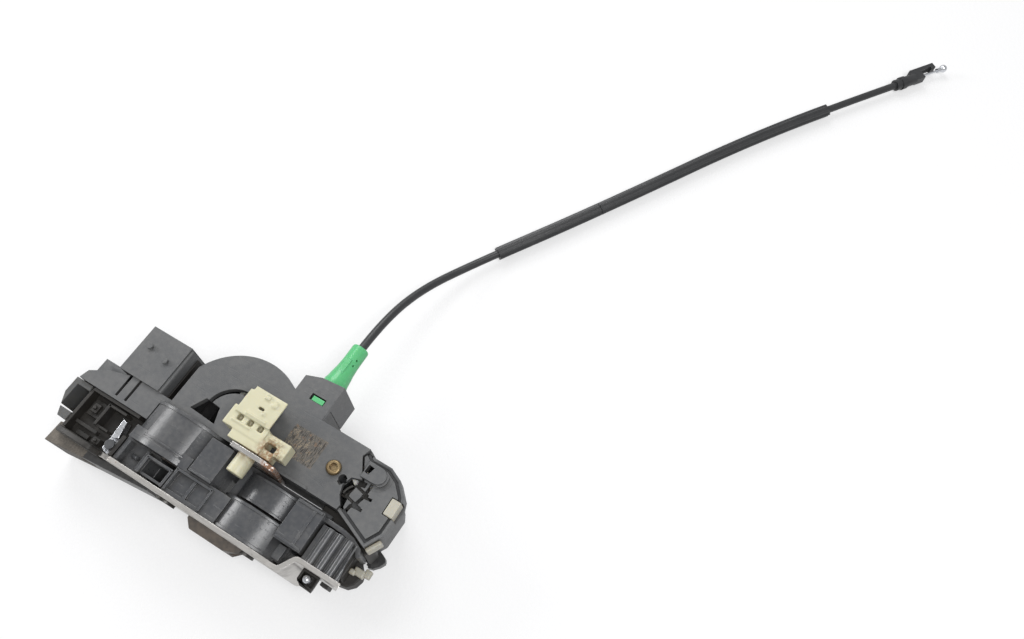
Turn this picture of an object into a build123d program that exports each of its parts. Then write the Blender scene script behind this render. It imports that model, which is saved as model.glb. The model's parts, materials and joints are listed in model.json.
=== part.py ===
from build123d import *
import math
import os

os.makedirs("parts", exist_ok=True)

# Side-door latch with its locking actuator and inner-handle cable.
# Millimetres. X runs along the latch, Y from the steel face plate towards the
# cable, Z up from the back of the latch that lies on the bench.

# ---------------------------------------------------------------- frame plate
plate_t = 2.4
plate_back = -38.6
plate_front = plate_back - plate_t
plate_mid = plate_back - plate_t / 2
plate_low = 2.0
plate_high = 50.0
plate_left = -86.0
plate_right = 85.0
plate_left_high = 31.0
plate_right_high = 46.0
joggle_start = 55.5
joggle_end = 60.5
joggle_rise = 8.3
joggle_r = 3.0
lug_front = plate_front + joggle_rise
lug_back = plate_back + joggle_rise
bolt_minor_r = 2.5
bolt_clear_r = 3.4
bolt_depth = 12.0
bolt_spots = [(-70.0, 16.0), (-34.0, 41.0), (75.0, 24.0)]

# ---------------------------------------------------------------- claw and pawl
claw_x = 31.0
claw_z = 25.0
claw_r = 20.5
claw_root_r = claw_r - 4.5
claw_steel_t = 5.0
claw_pad_t = 1.0
claw_swing = 50.0
striker_reach = 18.5
striker_r = 5.0
striker_gap = 0.4
mouth_r = 8.0
mouth_x = claw_x - striker_reach
slot_angle = 230.0
relief_spans = [(137.0, 163.0), (187.0, slot_angle)]
pawl_x = -16.0
pawl_z = 29.5
pawl_hub_r = 7.5
pawl_swing = 9.0
tip_clearance = 0.6
tip_lift = 1.4
side_gap = 0.3
run_gap = 0.05
claw_front = plate_back + side_gap
pin_r = 4.5
pin_end_r = 3.0
rivet_head_r = 5.5
rivet_head_t = 1.5
pocket_depth = 14.0
pocket_back = plate_back + pocket_depth
back_plate_t = 2.0
back_plate_front = pocket_back - back_plate_t
pocket_gap = 0.7
spring_wire_r = 0.75
spring_coil_r = 6.4

# ---------------------------------------------------------------- latch housing
housing_left = -83.0
housing_rear = -3.5
lever_recess = -6.4
barrel_x = -26.5
barrel_r = 24.0
barrel_z = plate_high - barrel_r
barrel_left = -46.0
barrel_front = -26.0
drum_r = 24.0
rear_drum_r = 19.5

# ---------------------------------------------------------------- actuator
cover_top = 42.0
cover_t = 3.5
cover_base = cover_top - cover_t
case_base = 6.0
case_floor = 8.0
wall = 2.0
case_left = -41.0
case_front = housing_rear
hub_x = -9.8
hub_y = 6.3
disc_r = 34.0
bay_top = 34.95
bay_right = 29.5
case_top = 28.8

# ---------------------------------------------------------------- drive train
teeth = 56
gear_module = 0.8
gear_r = teeth * gear_module / 2
gear_tip_r = gear_r + 0.55
gear_root_r = gear_r - 0.95
gear_low = 12.6
gear_high = 17.8
sector_start = 12.0
sector_end = 152.0
worm_r = 3.2
worm_tip_r = 3.8
worm_root_r = 2.3
worm_length = 13.0
worm_angle = 60.0
worm_z = 15.2
centre_distance = gear_r + worm_r
worm_x = hub_x + centre_distance * math.cos(math.radians(worm_angle))
worm_y = hub_y + centre_distance * math.sin(math.radians(worm_angle))
motor_length = 22.0
motor_width = 15.0
motor_height = 13.0
motor_start = 14.6
axle_r = 3.0
hub_r = 6.5
crank_r = 16.0
crank_pin_r = 2.0
crank_low = 26.0
crank_high = 29.0
link_low = 30.5
link_high = 33.0
lock_x = 68.0
lock_y = 4.0
lock_pin_r = 12.0

# ---------------------------------------------------------------- cable
cable_x = 17.8
cable_z = 26.0
sheath_r = 2.3
sleeve_r = 4.2
wire_r = 0.75
cable_travel = 10.0
ferrule_tip_y = 75.0
ferrule_seat_y = 66.0
inside_pivot_x = 41.0
inside_pivot_y = 19.0
inside_arm = inside_pivot_x - cable_x

# ---------------------------------------------------------------- levers
low_deck = 14.0
lever_t = 2.3
lever_back = -3.8
lever_x = 18.0
lever_z = 22.0
lever_pin_r = 3.0
clip_x = 13.0
clip_z = 50.0
stub_r = 4.5
clip_low = 45.6
clip_high = 58.5
clip_left = -3.0
clip_right = 17.2
clip_near = -2.9
clip_far = 24.0
rod_hole_r = 2.2
rod_hole_drop = 5.5
hook_x = 78.5
hook_y = -16.5
hook_pin_r = 3.0
deck_right = hook_x + 5.5
key_x = -54.0
key_y = -34.0
key_pin_r = 2.5

# ---------------------------------------------------------------- shell details
rim_t = 1.4
socket_left = -75.6
socket_right = -50.6
socket_far = 26.2
socket_low = 20.0
screw_x = 49.1
screw_y = 12.1
screw_shank_r = 1.6
ferrule_shank_r = 4.2

# ---------------------------------------------------------------- cable route
cable_flat_z = 4.6
route = [
    (cable_x, ferrule_seat_y, cable_z),
    (cable_x, 90.0, cable_z),
    (20.5, 124.0, 15.5),
    (34.5, 160.0, cable_flat_z),
    (67.5, 211.5, cable_flat_z),
    (98.0, 261.5, cable_flat_z),
    (131.0, 317.0, cable_flat_z),
    (168.0, 372.0, cable_flat_z),
    (206.4, 423.6, cable_flat_z),
]
sleeve_start = (43.9, 174.7)
sleeve_joint = (79.6, 231.2)
sleeve_end = (171.7, 376.1)
sleeve_ribs = 8
cable_start_y = inside_pivot_y - cable_travel / 2
nipple_r = 2.9
crank_angle = 105.0
lock_angle = 110.0


def at_y(y):
    """Plane across the latch depth, local x along X and local y along Z."""
    return Plane.XZ.offset(-y)


def polar(cx, cy, radius, degrees):
    """Point at a radius and angle from a centre."""
    angle = math.radians(degrees)
    return (cx + radius * math.cos(angle), cy + radius * math.sin(angle))


def block(x0, x1, y0, y1, z0, z1, mode=Mode.ADD):
    """Box between two corners, in the active part."""
    with Locations(((x0 + x1) / 2, (y0 + y1) / 2, (z0 + z1) / 2)):
        Box(x1 - x0, y1 - y0, z1 - z0, mode=mode)


def rod_y(x, z, radius, y0, y1, mode=Mode.ADD):
    """Round bar along Y, in the active part."""
    with Locations(Location((x, (y0 + y1) / 2, z), (90, 0, 0))):
        Cylinder(radius, y1 - y0, mode=mode)


def rod_z(x, y, radius, z0, z1, mode=Mode.ADD):
    """Round bar along Z, in the active part."""
    with Locations((x, y, (z0 + z1) / 2)):
        Cylinder(radius, z1 - z0, mode=mode)


# ---------------------------------------------------------------- latch end
def build_frame_plate():
    """Steel face plate with a joggled lug, striker slot and bolt holes."""
    height = plate_high - plate_low
    middle = (plate_high + plate_low) / 2
    with BuildPart() as frame_plate:
        with BuildLine() as run:
            FilletPolyline(
                (plate_left, plate_mid, middle),
                (joggle_start, plate_mid, middle),
                (joggle_end, plate_mid + joggle_rise, middle),
                (plate_right, plate_mid + joggle_rise, middle),
                radius=joggle_r,
            )
        start = Plane(origin=run.line @ 0, x_dir=(0, 1, 0), z_dir=(1, 0, 0))
        with BuildSketch(start):
            Rectangle(plate_t, height)
        sweep(path=run.line)
        with BuildSketch(at_y(lug_back + 1)):
            with BuildLine():
                Polyline(
                    (plate_left - 1, plate_left_high),
                    (-60, plate_left_high),
                    (-43, plate_high),
                    (-43, plate_high + 1),
                    (plate_left - 1, plate_high + 1),
                    close=True,
                )
            make_face()
            with BuildLine():
                Polyline(
                    (42, plate_high + 1),
                    (42, plate_high),
                    (52, plate_right_high),
                    (plate_right + 1, plate_right_high),
                    (plate_right + 1, plate_high + 1),
                    close=True,
                )
            make_face()
            with Locations((mouth_x, claw_z)):
                Circle(mouth_r)
            with Locations((mouth_x, claw_z / 2)):
                Rectangle(2 * mouth_r, claw_z)
            with Locations(*bolt_spots):
                Circle(bolt_minor_r)
            with Locations((claw_x, claw_z), (pawl_x, pawl_z)):
                Circle(pin_end_r)
        extrude(amount=lug_back - plate_front + 2, mode=Mode.SUBTRACT)
    frame_plate.part.label = "frame_plate"
    export_step(frame_plate.part, "parts/frame_plate.step")


def build_mouth_surround():
    """Plastic guide round the striker mouth, proud of the face plate."""
    proud = 5.0
    half_width = 19.5
    high = 36.0
    with BuildPart() as mouth_surround:
        with BuildSketch(at_y(plate_front)):
            with Locations((mouth_x, (high + plate_low + 1) / 2)):
                RectangleRounded(2 * half_width, high - plate_low - 1, 7)
        extrude(amount=proud, taper=24)
        with BuildSketch(at_y(plate_front)):
            with Locations((mouth_x, claw_z - 6)):
                Circle(mouth_r - 0.5)
            with Locations((mouth_x, (claw_z - 6) / 2)):
                Rectangle(2 * mouth_r - 1, claw_z - 6)
        extrude(amount=proud, mode=Mode.SUBTRACT)
        rod_y(claw_x, claw_z, rivet_head_r + side_gap, -60, plate_front, mode=Mode.SUBTRACT)
    mouth_surround.part.label = "mouth_surround"
    export_step(mouth_surround.part, "parts/mouth_surround.step")


def pocket_outline(gap):
    """Claw and pawl pocket outline, drawn smaller by a gap."""
    with Locations((claw_x, claw_z)):
        Circle(claw_r + pocket_gap - gap)
    with Locations((-4, 32)):
        RectangleRounded(46 - 2 * gap, 24.6 - 2 * gap, 5)


def mouth_outline(high_radius):
    """Striker path from the open side up to its resting place."""
    with Locations((mouth_x, claw_z)):
        Circle(high_radius)
    with Locations((mouth_x, claw_z / 2 - 1)):
        Rectangle(2 * high_radius, claw_z + 2)


def build_back_plate():
    """Steel plate that carries the rear ends of both pins."""
    with BuildPart() as back_plate:
        with BuildSketch(at_y(pocket_back)):
            pocket_outline(side_gap)
        extrude(amount=back_plate_t)
        with BuildSketch(at_y(pocket_back)):
            mouth_outline(mouth_r)
            with Locations((claw_x, claw_z), (pawl_x, pawl_z)):
                Circle(pin_end_r)
        extrude(amount=back_plate_t, mode=Mode.SUBTRACT)
    back_plate.part.label = "back_plate"
    export_step(back_plate.part, "parts/back_plate.step")


def build_claw_pin():
    """Riveted pin the claw turns on."""
    with BuildPart() as claw_pin:
        rod_y(claw_x, claw_z, pin_r, plate_back, back_plate_front)
        rod_y(claw_x, claw_z, pin_end_r, back_plate_front, pocket_back)
        rod_y(claw_x, claw_z, pin_end_r, plate_front, plate_back)
        rod_y(claw_x, claw_z, rivet_head_r, plate_front - rivet_head_t, plate_front)
    claw_pin.part.label = "claw_pin"
    export_step(claw_pin.part, "parts/claw_pin.step")


def build_pawl_pin():
    """Riveted pin the pawl turns on."""
    with BuildPart() as pawl_pin:
        rod_y(pawl_x, pawl_z, pin_r, plate_back, back_plate_front)
        rod_y(pawl_x, pawl_z, pin_end_r, back_plate_front, pocket_back)
        rod_y(pawl_x, pawl_z, pin_end_r, plate_front, plate_back)
        rod_y(pawl_x, pawl_z, rivet_head_r, plate_front - rivet_head_t, plate_front)
    pawl_pin.part.label = "pawl_pin"
    export_step(pawl_pin.part, "parts/pawl_pin.step")


def claw_face(outer):
    """Claw outline with its striker slot and both reliefs."""
    with Locations((claw_x, claw_z)):
        Circle(outer)
    for start, end in relief_spans:
        with BuildLine() as outline:
            Polyline(
                (claw_x, claw_z),
                polar(claw_x, claw_z, 2 * outer, start),
                polar(claw_x, claw_z, 2 * outer, end),
                close=True,
            )
        make_face(outline.edges(), mode=Mode.SUBTRACT)
    with Locations((claw_x, claw_z)):
        Circle(claw_root_r + outer - claw_r)
    slot_end = polar(claw_x, claw_z, striker_reach, slot_angle)
    slot_far = polar(claw_x, claw_z, striker_reach + 6, slot_angle)
    with Locations(slot_end):
        Circle(striker_r + striker_gap, mode=Mode.SUBTRACT)
    with Locations(Location((slot_far[0], slot_far[1], 0), (0, 0, slot_angle))):
        Rectangle(12, 2 * (striker_r + striker_gap), mode=Mode.SUBTRACT)


def build_claw():
    """Rotary claw: steel core with a moulded pad on each face."""
    bore_r = pin_r + run_gap
    steel_front = claw_front + claw_pad_t
    steel_back = steel_front + claw_steel_t
    plug_r = 2.2
    plug_spots = [polar(claw_x, claw_z, 12, 20), polar(claw_x, claw_z, 12, 320)]
    with BuildPart() as claw_core:
        with BuildSketch(at_y(steel_back)):
            claw_face(claw_r)
            with Locations((claw_x, claw_z)):
                Circle(bore_r, mode=Mode.SUBTRACT)
            with Locations(*plug_spots):
                Circle(plug_r, mode=Mode.SUBTRACT)
        extrude(amount=claw_steel_t)
    claw_core.part.label = "claw_core"
    export_step(claw_core.part, "parts/claw_core.step")
    with BuildPart() as claw_pads:
        with BuildSketch(at_y(steel_front), at_y(steel_back + claw_pad_t)):
            claw_face(claw_r - 0.5)
            with Locations((claw_x, claw_z)):
                Circle(bore_r, mode=Mode.SUBTRACT)
        extrude(amount=claw_pad_t)
        with BuildSketch(at_y(steel_back)):
            with Locations(*plug_spots):
                Circle(plug_r)
        extrude(amount=claw_steel_t)
    claw_pads.part.label = "claw_pads"
    export_step(claw_pads.part, "parts/claw_pads.step")


def build_pawl():
    """Steel pawl, drawn engaged and lifted to its resting angle."""
    tip_gap = 1.5
    tip_in = polar(claw_x, claw_z, claw_root_r + tip_lift, relief_spans[0][0] + tip_gap)
    tip_out = polar(claw_x, claw_z, claw_r + 0.1, relief_spans[0][0] + tip_gap)
    heel = polar(claw_x, claw_z, claw_root_r + tip_lift, relief_spans[0][0] + 13)
    tooth = polar(claw_x, claw_z, claw_r, relief_spans[0][0])
    tip_reach = math.dist(tooth, (pawl_x, pawl_z)) - tip_clearance
    with BuildPart() as engaged:
        with BuildSketch(at_y(claw_front + claw_pad_t + claw_steel_t)):
            with BuildLine():
                Polyline(
                    tip_in,
                    tip_out,
                    (6, pawl_z + 10.2),
                    (pawl_x, pawl_z + pawl_hub_r),
                    (pawl_x, pawl_z - pawl_hub_r),
                    (2, pawl_z + 3.4),
                    heel,
                    close=True,
                )
            make_face()
            with Locations((pawl_x, pawl_z)):
                Circle(pawl_hub_r)
                Circle(tip_reach, mode=Mode.INTERSECT)
                Circle(pin_r + run_gap, mode=Mode.SUBTRACT)
        extrude(amount=claw_steel_t)
    lift_axis = Axis((pawl_x, 0, pawl_z), (0, -1, 0))
    with BuildPart() as pawl:
        add(engaged.part.rotate(lift_axis, pawl_swing))
    pawl.part.label = "pawl"
    export_step(pawl.part, "parts/pawl.step")


def build_spring(label, x, z):
    """Torsion spring wound round a pin, with one straight leg."""
    coil_start = back_plate_front - spring_wire_r - side_gap - 0.1
    leg = 8.0
    with BuildPart() as spring:
        with BuildLine() as coil:
            Helix(pitch=1.9, height=2.3, radius=spring_coil_r, center=(x, coil_start, z), direction=(0, -1, 0))
        with BuildSketch(Plane(origin=coil.line @ 0, z_dir=coil.line % 0)):
            Circle(spring_wire_r)
        sweep(path=coil.line, is_frenet=True)
        with BuildSketch(Plane(origin=coil.line @ 0, z_dir=coil.line % 0)):
            Circle(spring_wire_r)
        extrude(amount=-leg)
    spring.part.label = label
    export_step(spring.part, "parts/" + label + ".step")


def housing_top():
    """Raised forms on the upper side of the latch housing."""
    low = 12.0
    with BuildSketch(at_y(housing_rear)) as section:
        with Locations((barrel_x, barrel_z)):
            Circle(barrel_r)
            Rectangle(2 * (barrel_x - barrel_left), 60, mode=Mode.INTERSECT)
    extrude(section.sketch, amount=housing_rear - barrel_front)
    block(barrel_left, -7, barrel_front, housing_rear, 0, 37)
    block(barrel_left + 2, -9, barrel_front, -19.4, 30, 47.2)
    block(-7, 6.2, -24.9, lever_recess, 0, plate_high)
    rod_y(claw_x, claw_z, drum_r, plate_back, -23)
    rod_y(claw_x, claw_z, rear_drum_r, -21.6, -9)
    block(45, 60, -29, -8.3, 0, 46)
    block(44, 53, -37.4, -28, 0, 40)
    block(61, deck_right, lug_back, -12.2, low, 42)
    for rib_x in (66.0, 71.5, 77.0, 82.0):
        rod_y(rib_x, 42.5, 1.9, lug_back, -12.2)
    block(10, 60, -24, lever_recess, 0, 34)
    block(54, deck_right, -29, -12.2, low, 36)


def build_latch_housing():
    """Moulded housing that holds the claw, the pawl and the release lever."""
    with BuildPart() as latch_housing:
        block(housing_left, -46, plate_back, -14.8, 0, 30)
        block(-49, 53, plate_back, -24, 0, 37.5)
        block(-13.5, 18, plate_back, -25, 30, 47)
        block(-29, -13.5, plate_back + 1, -28.6, 30, 46)
        block(52, deck_right, -30.2, -12.2, low_deck, 30)
        housing_top()
        block(-27.6, -15.4, plate_back + 2.2, -29.9, 33, 47, mode=Mode.SUBTRACT)
        block(-11.5, -2, -36.5, -27, 45, 48, mode=Mode.SUBTRACT)
        block(-0.5, 8.5, -36.5, -27, 45.5, 48, mode=Mode.SUBTRACT)
        with BuildSketch(at_y(pocket_back)):
            pocket_outline(0)
        extrude(amount=pocket_depth + 1, mode=Mode.SUBTRACT)
        with BuildSketch(at_y(-17)):
            mouth_outline(mouth_r + 0.5)
        extrude(amount=25, mode=Mode.SUBTRACT)
        block(-100, 53, plate_back - 40, plate_back, -60, 60, mode=Mode.SUBTRACT)
        block(53, 100, plate_back - 40, lug_back, -60, 60, mode=Mode.SUBTRACT)
        block(-100, 100, -60, 0, -60, 0, mode=Mode.SUBTRACT)
        for spot_x, spot_z in bolt_spots[:2]:
            rod_y(spot_x, spot_z, bolt_clear_r, plate_back, plate_back + bolt_depth, mode=Mode.SUBTRACT)
        spot_x, spot_z = bolt_spots[2]
        rod_y(spot_x, spot_z, bolt_clear_r, lug_back, lug_back + bolt_depth, mode=Mode.SUBTRACT)
        rod_y(lever_x, lever_z, lever_pin_r, lever_recess - 8, lever_recess, mode=Mode.SUBTRACT)
        rod_z(hook_x, hook_y, hook_pin_r, 0.5, low_deck)
        rod_z(key_x, key_y, key_pin_r, 30, 39)
    latch_housing.part.label = "latch_housing"
    export_step(latch_housing.part, "parts/latch_housing.step")


# ---------------------------------------------------------------- levers and trim
def build_lever_pin():
    """Plain pin between the housing and the actuator case."""
    with BuildPart() as lever_pin:
        rod_y(lever_x, lever_z, lever_pin_r, lever_recess - 8, housing_rear + 1.5)
    lever_pin.part.label = "lever_pin"
    export_step(lever_pin.part, "parts/lever_pin.step")


def build_release_lever():
    """Sheet-steel lever that the outside handle pulls through the rod clip."""
    with BuildPart() as release_lever:
        with BuildSketch(at_y(lever_back)):
            with BuildLine():
                Polyline(
                    (lever_x - 8, lever_z),
                    (lever_x + 8, lever_z),
                    (clip_x + 17, clip_z + 1),
                    (clip_x + 17, clip_z + 5),
                    (clip_x + 11, clip_z + 8.5),
                    (clip_x - 7, clip_z + 8.5),
                    (clip_x - 7, clip_z - 4),
                    close=True,
                )
            make_face()
            with Locations((lever_x, lever_z)):
                Circle(8)
                Circle(lever_pin_r + run_gap, mode=Mode.SUBTRACT)
            with Locations((clip_x, clip_z)):
                Circle(stub_r + run_gap, mode=Mode.SUBTRACT)
        extrude(amount=lever_t)
    release_lever.part.label = "release_lever"
    export_step(release_lever.part, "parts/release_lever.step")


def build_rod_clip():
    """Natural nylon clip that joins the outside-handle rod to its lever."""
    ledge = 5.0
    with BuildPart() as rod_clip:
        block(clip_left, clip_right, 9, clip_far, clip_low, clip_high)
        block(clip_left - 2.5, clip_right, 1.5, 12, clip_low, clip_high - 1.5)
        block(1, clip_right + 2, clip_near, 4, clip_low, clip_high - 2)
        block(clip_right, 28, 4.5, 8.5, clip_low + 1, clip_high - 3)
        block(25, 30.5, clip_near + 3, 8.5, clip_low + 1, clip_high - 3)
        block(clip_right, 25, clip_near, 1.2, clip_low + 1, clip_high - 4)
        block(6, 9, clip_far - 3.5, clip_far - 1.5, clip_high, clip_high + 1.2)
        rod_y(clip_x, clip_z, stub_r, -15.5, clip_near)
        block(6, 9.5, 15, 16.2, clip_high - ledge, clip_high, mode=Mode.SUBTRACT)
        for pocket_x in (-0.5, 5.5, 11.5):
            block(pocket_x, pocket_x + 3, 6, 9, clip_high - ledge, clip_high, mode=Mode.SUBTRACT)
        rod_y(7, clip_high - rod_hole_drop, rod_hole_r, clip_far - 12, clip_far, mode=Mode.SUBTRACT)
    rod_clip.part.label = "rod_clip"
    export_step(rod_clip.part, "parts/rod_clip.step")


def build_key_lever():
    """Die-cast lever for the lock cylinder."""
    reach = 14.0
    with BuildPart() as key_lever:
        with BuildSketch(Plane.XY.offset(30.3)):
            with BuildLine():
                Polyline(
                    (key_x - 4.5, key_y),
                    (key_x - 2, key_y + reach),
                    (key_x + 2.5, key_y + reach),
                    (key_x + 4.5, key_y),
                    close=True,
                )
            make_face()
            with Locations((key_x, key_y)):
                Circle(4.5)
                Circle(key_pin_r + run_gap, mode=Mode.SUBTRACT)
        extrude(amount=6)
    key_lever.part.label = "key_lever"
    export_step(key_lever.part, "parts/key_lever.step")


def build_key_bearing():
    """Light grey cap that closes the lock-cylinder end."""
    outer_x = -94.0
    with BuildPart() as key_bearing:
        with BuildSketch(Plane.XY.offset(8)):
            with BuildLine():
                Polyline(
                    (outer_x, -15),
                    (housing_left, -15),
                    (housing_left, -35.6),
                    (outer_x + 5.5, -35.6),
                    (outer_x, -24),
                    close=True,
                )
            make_face()
        extrude(amount=29)
        block(outer_x + 3, housing_left, -31, -18, 14, 38, mode=Mode.SUBTRACT)
    key_bearing.part.label = "key_bearing"
    export_step(key_bearing.part, "parts/key_bearing.step")


def build_entrance_seal():
    """Soft rubber seal round the lock-cylinder end of the face plate."""
    with BuildPart() as entrance_seal:
        with BuildSketch(Plane.XY.offset(3)):
            with BuildLine():
                Polyline(
                    (plate_left - 4, plate_back + 1.5),
                    (plate_left, plate_back + 2.5),
                    (plate_left, plate_front),
                    (-28, plate_front),
                    (-28, plate_front - 1.2),
                    (-70, plate_front - 5),
                    (plate_left - 4.5, plate_front - 7.3),
                    close=True,
                )
            make_face()
        extrude(amount=25)
        spot_x, spot_z = bolt_spots[0]
        rod_y(spot_x, spot_z, bolt_clear_r + 1, -60, plate_front, mode=Mode.SUBTRACT)
    entrance_seal.part.label = "entrance_seal"
    export_step(entrance_seal.part, "parts/entrance_seal.step")


def build_lug_cap():
    """Black cap in front of the joggled lug, with its steel detent ball pin."""
    cap_left = 63.5
    cap_right = 80.0
    cap_front = lug_front - 7.5
    with BuildPart() as lug_cap:
        with BuildSketch(Plane.XY.offset(4)):
            with BuildLine():
                Polyline(
                    (cap_left, lug_front),
                    (cap_left, cap_front + 2),
                    (cap_left + 3, cap_front),
                    (cap_right - 4, cap_front),
                    (cap_right, lug_front),
                    close=True,
                )
            make_face()
        extrude(amount=34)
        block(cap_left + 1.2, cap_left + 8.5, cap_front + 1.5, lug_front - 1.2, 32, 40, mode=Mode.SUBTRACT)
        spot_x, spot_z = bolt_spots[2]
        rod_y(spot_x, spot_z, bolt_clear_r, -60, lug_front, mode=Mode.SUBTRACT)
    lug_cap.part.label = "lug_cap"
    export_step(lug_cap.part, "parts/lug_cap.step")
    with BuildPart() as detent_pin:
        rod_z(68, cap_front + 3.9, 1.4, 32, 37)
        with Locations((68, cap_front + 3.9, 38)):
            Sphere(2.1)
    detent_pin.part.label = "detent_pin"
    export_step(detent_pin.part, "parts/detent_pin.step")


def build_hook_lever():
    """Curved black hook under the right-hand end."""
    low = 0.5
    with BuildPart() as hook_lever:
        with BuildSketch(Plane.XY.offset(low)):
            with Locations((hook_x, hook_y)):
                Circle(11.5)
                Circle(8, mode=Mode.SUBTRACT)
            with BuildLine():
                Polyline(
                    (hook_x, hook_y),
                    (hook_x - 20, hook_y),
                    (hook_x - 20, hook_y + 30),
                    (hook_x + 5, hook_y + 30),
                    close=True,
                )
            make_face(mode=Mode.SUBTRACT)
            with BuildLine():
                Polyline(
                    (hook_x, hook_y),
                    (hook_x - 20, hook_y + 2),
                    (hook_x - 20, hook_y - 20),
                    (hook_x + 6, hook_y - 20),
                    close=True,
                )
            make_face(mode=Mode.SUBTRACT)
            with Locations((hook_x, hook_y)):
                Circle(5)
            with Locations(Location((hook_x + 6, hook_y - 2, 0), (0, 0, -20))):
                Rectangle(10, 4)
            with Locations((hook_x, hook_y)):
                Circle(hook_pin_r + run_gap, mode=Mode.SUBTRACT)
        extrude(amount=5)
    hook_lever.part.label = "hook_lever"
    export_step(hook_lever.part, "parts/hook_lever.step")


# ---------------------------------------------------------------- actuator shell
def case_outline():
    """Plan outline of the actuator case."""
    left_rise = math.sqrt(disc_r ** 2 - (case_left - hub_x) ** 2)
    bay_left = hub_x + math.sqrt(disc_r ** 2 - (bay_top - hub_y) ** 2)
    with BuildLine() as outline:
        Line((case_left, case_front), (case_left, hub_y + left_rise))
        ThreePointArc(
            (case_left, hub_y + left_rise),
            (hub_x, hub_y + disc_r),
            (bay_left, bay_top),
        )
        Polyline(
            (bay_left, bay_top),
            (bay_right, bay_top),
            (bay_right, case_top),
            (59.3, case_top),
            (63.5, 26.5),
            (73, 26.5),
            (80, 23.4),
            (86, 17.5),
            (88, 12.5),
            (87.5, -2.5),
            (82.5, -11.5),
            (62, case_front),
            (case_left, case_front),
        )
    make_face(outline.edges())


def narrow_outline(end_step):
    """Case outline with its right-hand end drawn in."""
    case_outline()
    with BuildLine() as outline:
        Polyline(
            (73, 40),
            (73, 26.5 - end_step),
            (80 - end_step / 2, 23.4 - end_step),
            (86 - end_step, 17.5 - end_step / 2),
            (88 - end_step, 12.5),
            (87.5 - end_step, -2.5),
            (82.5 - end_step, -11.5),
            (82.5 - end_step, -40),
            (120, -40),
            (120, 40),
            close=True,
        )
    make_face(outline.edges(), mode=Mode.SUBTRACT)


def right_side(first_x):
    """Large region right of a line, to keep one end of the outline."""
    with Locations((first_x + 60, 0)):
        Rectangle(120, 160, mode=Mode.INTERSECT)


def build_actuator_case():
    """Moulded case with the connector socket and the side arm."""
    rim = 2.2
    end_step = 3.0
    step_high = 30.0
    with BuildPart() as actuator_case:
        with BuildSketch(Plane.XY.offset(case_base)):
            case_outline()
        extrude(amount=cover_base - case_base)
        with BuildSketch(Plane.XY.offset(cover_base)):
            case_outline()
            right_side(62)
        extrude(amount=rim)
        with BuildSketch(Plane.XY.offset(case_base)):
            case_outline()
            with BuildSketch(mode=Mode.PRIVATE) as kept:
                narrow_outline(end_step)
            add(kept.sketch, mode=Mode.SUBTRACT)
        extrude(amount=step_high - case_base, mode=Mode.SUBTRACT)
        with BuildSketch(Plane.XY.offset(case_floor)):
            narrow_outline(end_step)
            offset(amount=-wall)
        extrude(amount=40, mode=Mode.SUBTRACT)
        with BuildSketch(Plane.XY.offset(step_high + wall)):
            case_outline()
            offset(amount=-wall)
        extrude(amount=40, mode=Mode.SUBTRACT)
        with BuildSketch(Plane.XY.offset(cover_base)):
            case_outline()
            offset(amount=-rim_t)
        extrude(amount=rim, mode=Mode.SUBTRACT)
        block(-48.3, case_left, case_front, 24, case_base, 33)
        connector_socket()
        side_arm()
        rod_z(hub_x, hub_y, axle_r, case_floor, crank_high + 6)
        rod_z(inside_pivot_x, inside_pivot_y, axle_r, case_floor, 29.6)
        rod_z(lock_x, lock_y, axle_r, case_floor, 36)
        rod_z(screw_x, screw_y, 4.2, case_floor, cover_base)
        rod_z(screw_x, screw_y, screw_shank_r, cover_base - 12, cover_base, mode=Mode.SUBTRACT)
        rod_y(lever_x, lever_z, lever_pin_r, housing_rear, housing_rear + 1.5, mode=Mode.SUBTRACT)
        block(cable_x - 1.6, cable_x + 1.6, bay_top - 3, bay_top + 1, cable_z - 1.6, cover_base, mode=Mode.SUBTRACT)
        tab_space()
        rod_z(-30, 26, 4, 0, case_base)
        rod_z(72, 14, 4, 0, case_base)
        rod_z(35, 22, 4, 0, case_base)
        rod_z(0, 1.5, 4, 0, case_base)
    actuator_case.part.label = "actuator_case"
    export_step(actuator_case.part, "parts/actuator_case.step")


def connector_socket():
    """Plug socket open towards the cable side, with two pegs on top."""
    block(socket_left, socket_right, -0.8, socket_far, socket_low, cover_top)
    block(socket_left + 2.2, socket_right - 2.2, 6, socket_far, socket_low + 2.2, cover_top - 2.2, mode=Mode.SUBTRACT)
    block(socket_right, socket_right + 2.3, -0.8, socket_far - 1, 30, cover_top - 1.2)
    rod_z(-69.5, 16, 1.5, cover_top, cover_top + 1.8)
    rod_z(-57.5, 13.5, 1.5, cover_top, cover_top + 1.8)


def side_arm():
    """Arm beside the socket that reaches over the lock-cylinder end."""
    with BuildSketch(Plane.XY.offset(20)) as section:
        with BuildLine():
            Polyline(
                (-91, -14.8),
                (-89.4, -9.7),
                (-80, -4.4),
                (-67.8, -0.8),
                (case_left, -0.8),
                (case_left, case_front),
                (-46.5, case_front),
                (-46.5, -14.8),
                close=True,
            )
        make_face()
    extrude(section.sketch, amount=20)
    block(-92.4, -76, -7, 0.9, 12, 30)
    block(-68.9, -67.4, -13, 1, 37, 41, mode=Mode.SUBTRACT)
    block(-63, -61.5, -13, 1, 37, 41, mode=Mode.SUBTRACT)


def build_connector_terminals():
    """Eight plug blades standing in the socket."""
    with BuildPart() as connector_terminals:
        for row_z in (28.0, 34.0):
            for blade in range(4):
                blade_x = -68.5 + 4.4 * blade
                block(blade_x - 0.75, blade_x + 0.75, 6, 19, row_z - 0.4, row_z + 0.4)
    connector_terminals.part.label = "connector_terminals"
    export_step(connector_terminals.part, "parts/connector_terminals.step")


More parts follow.
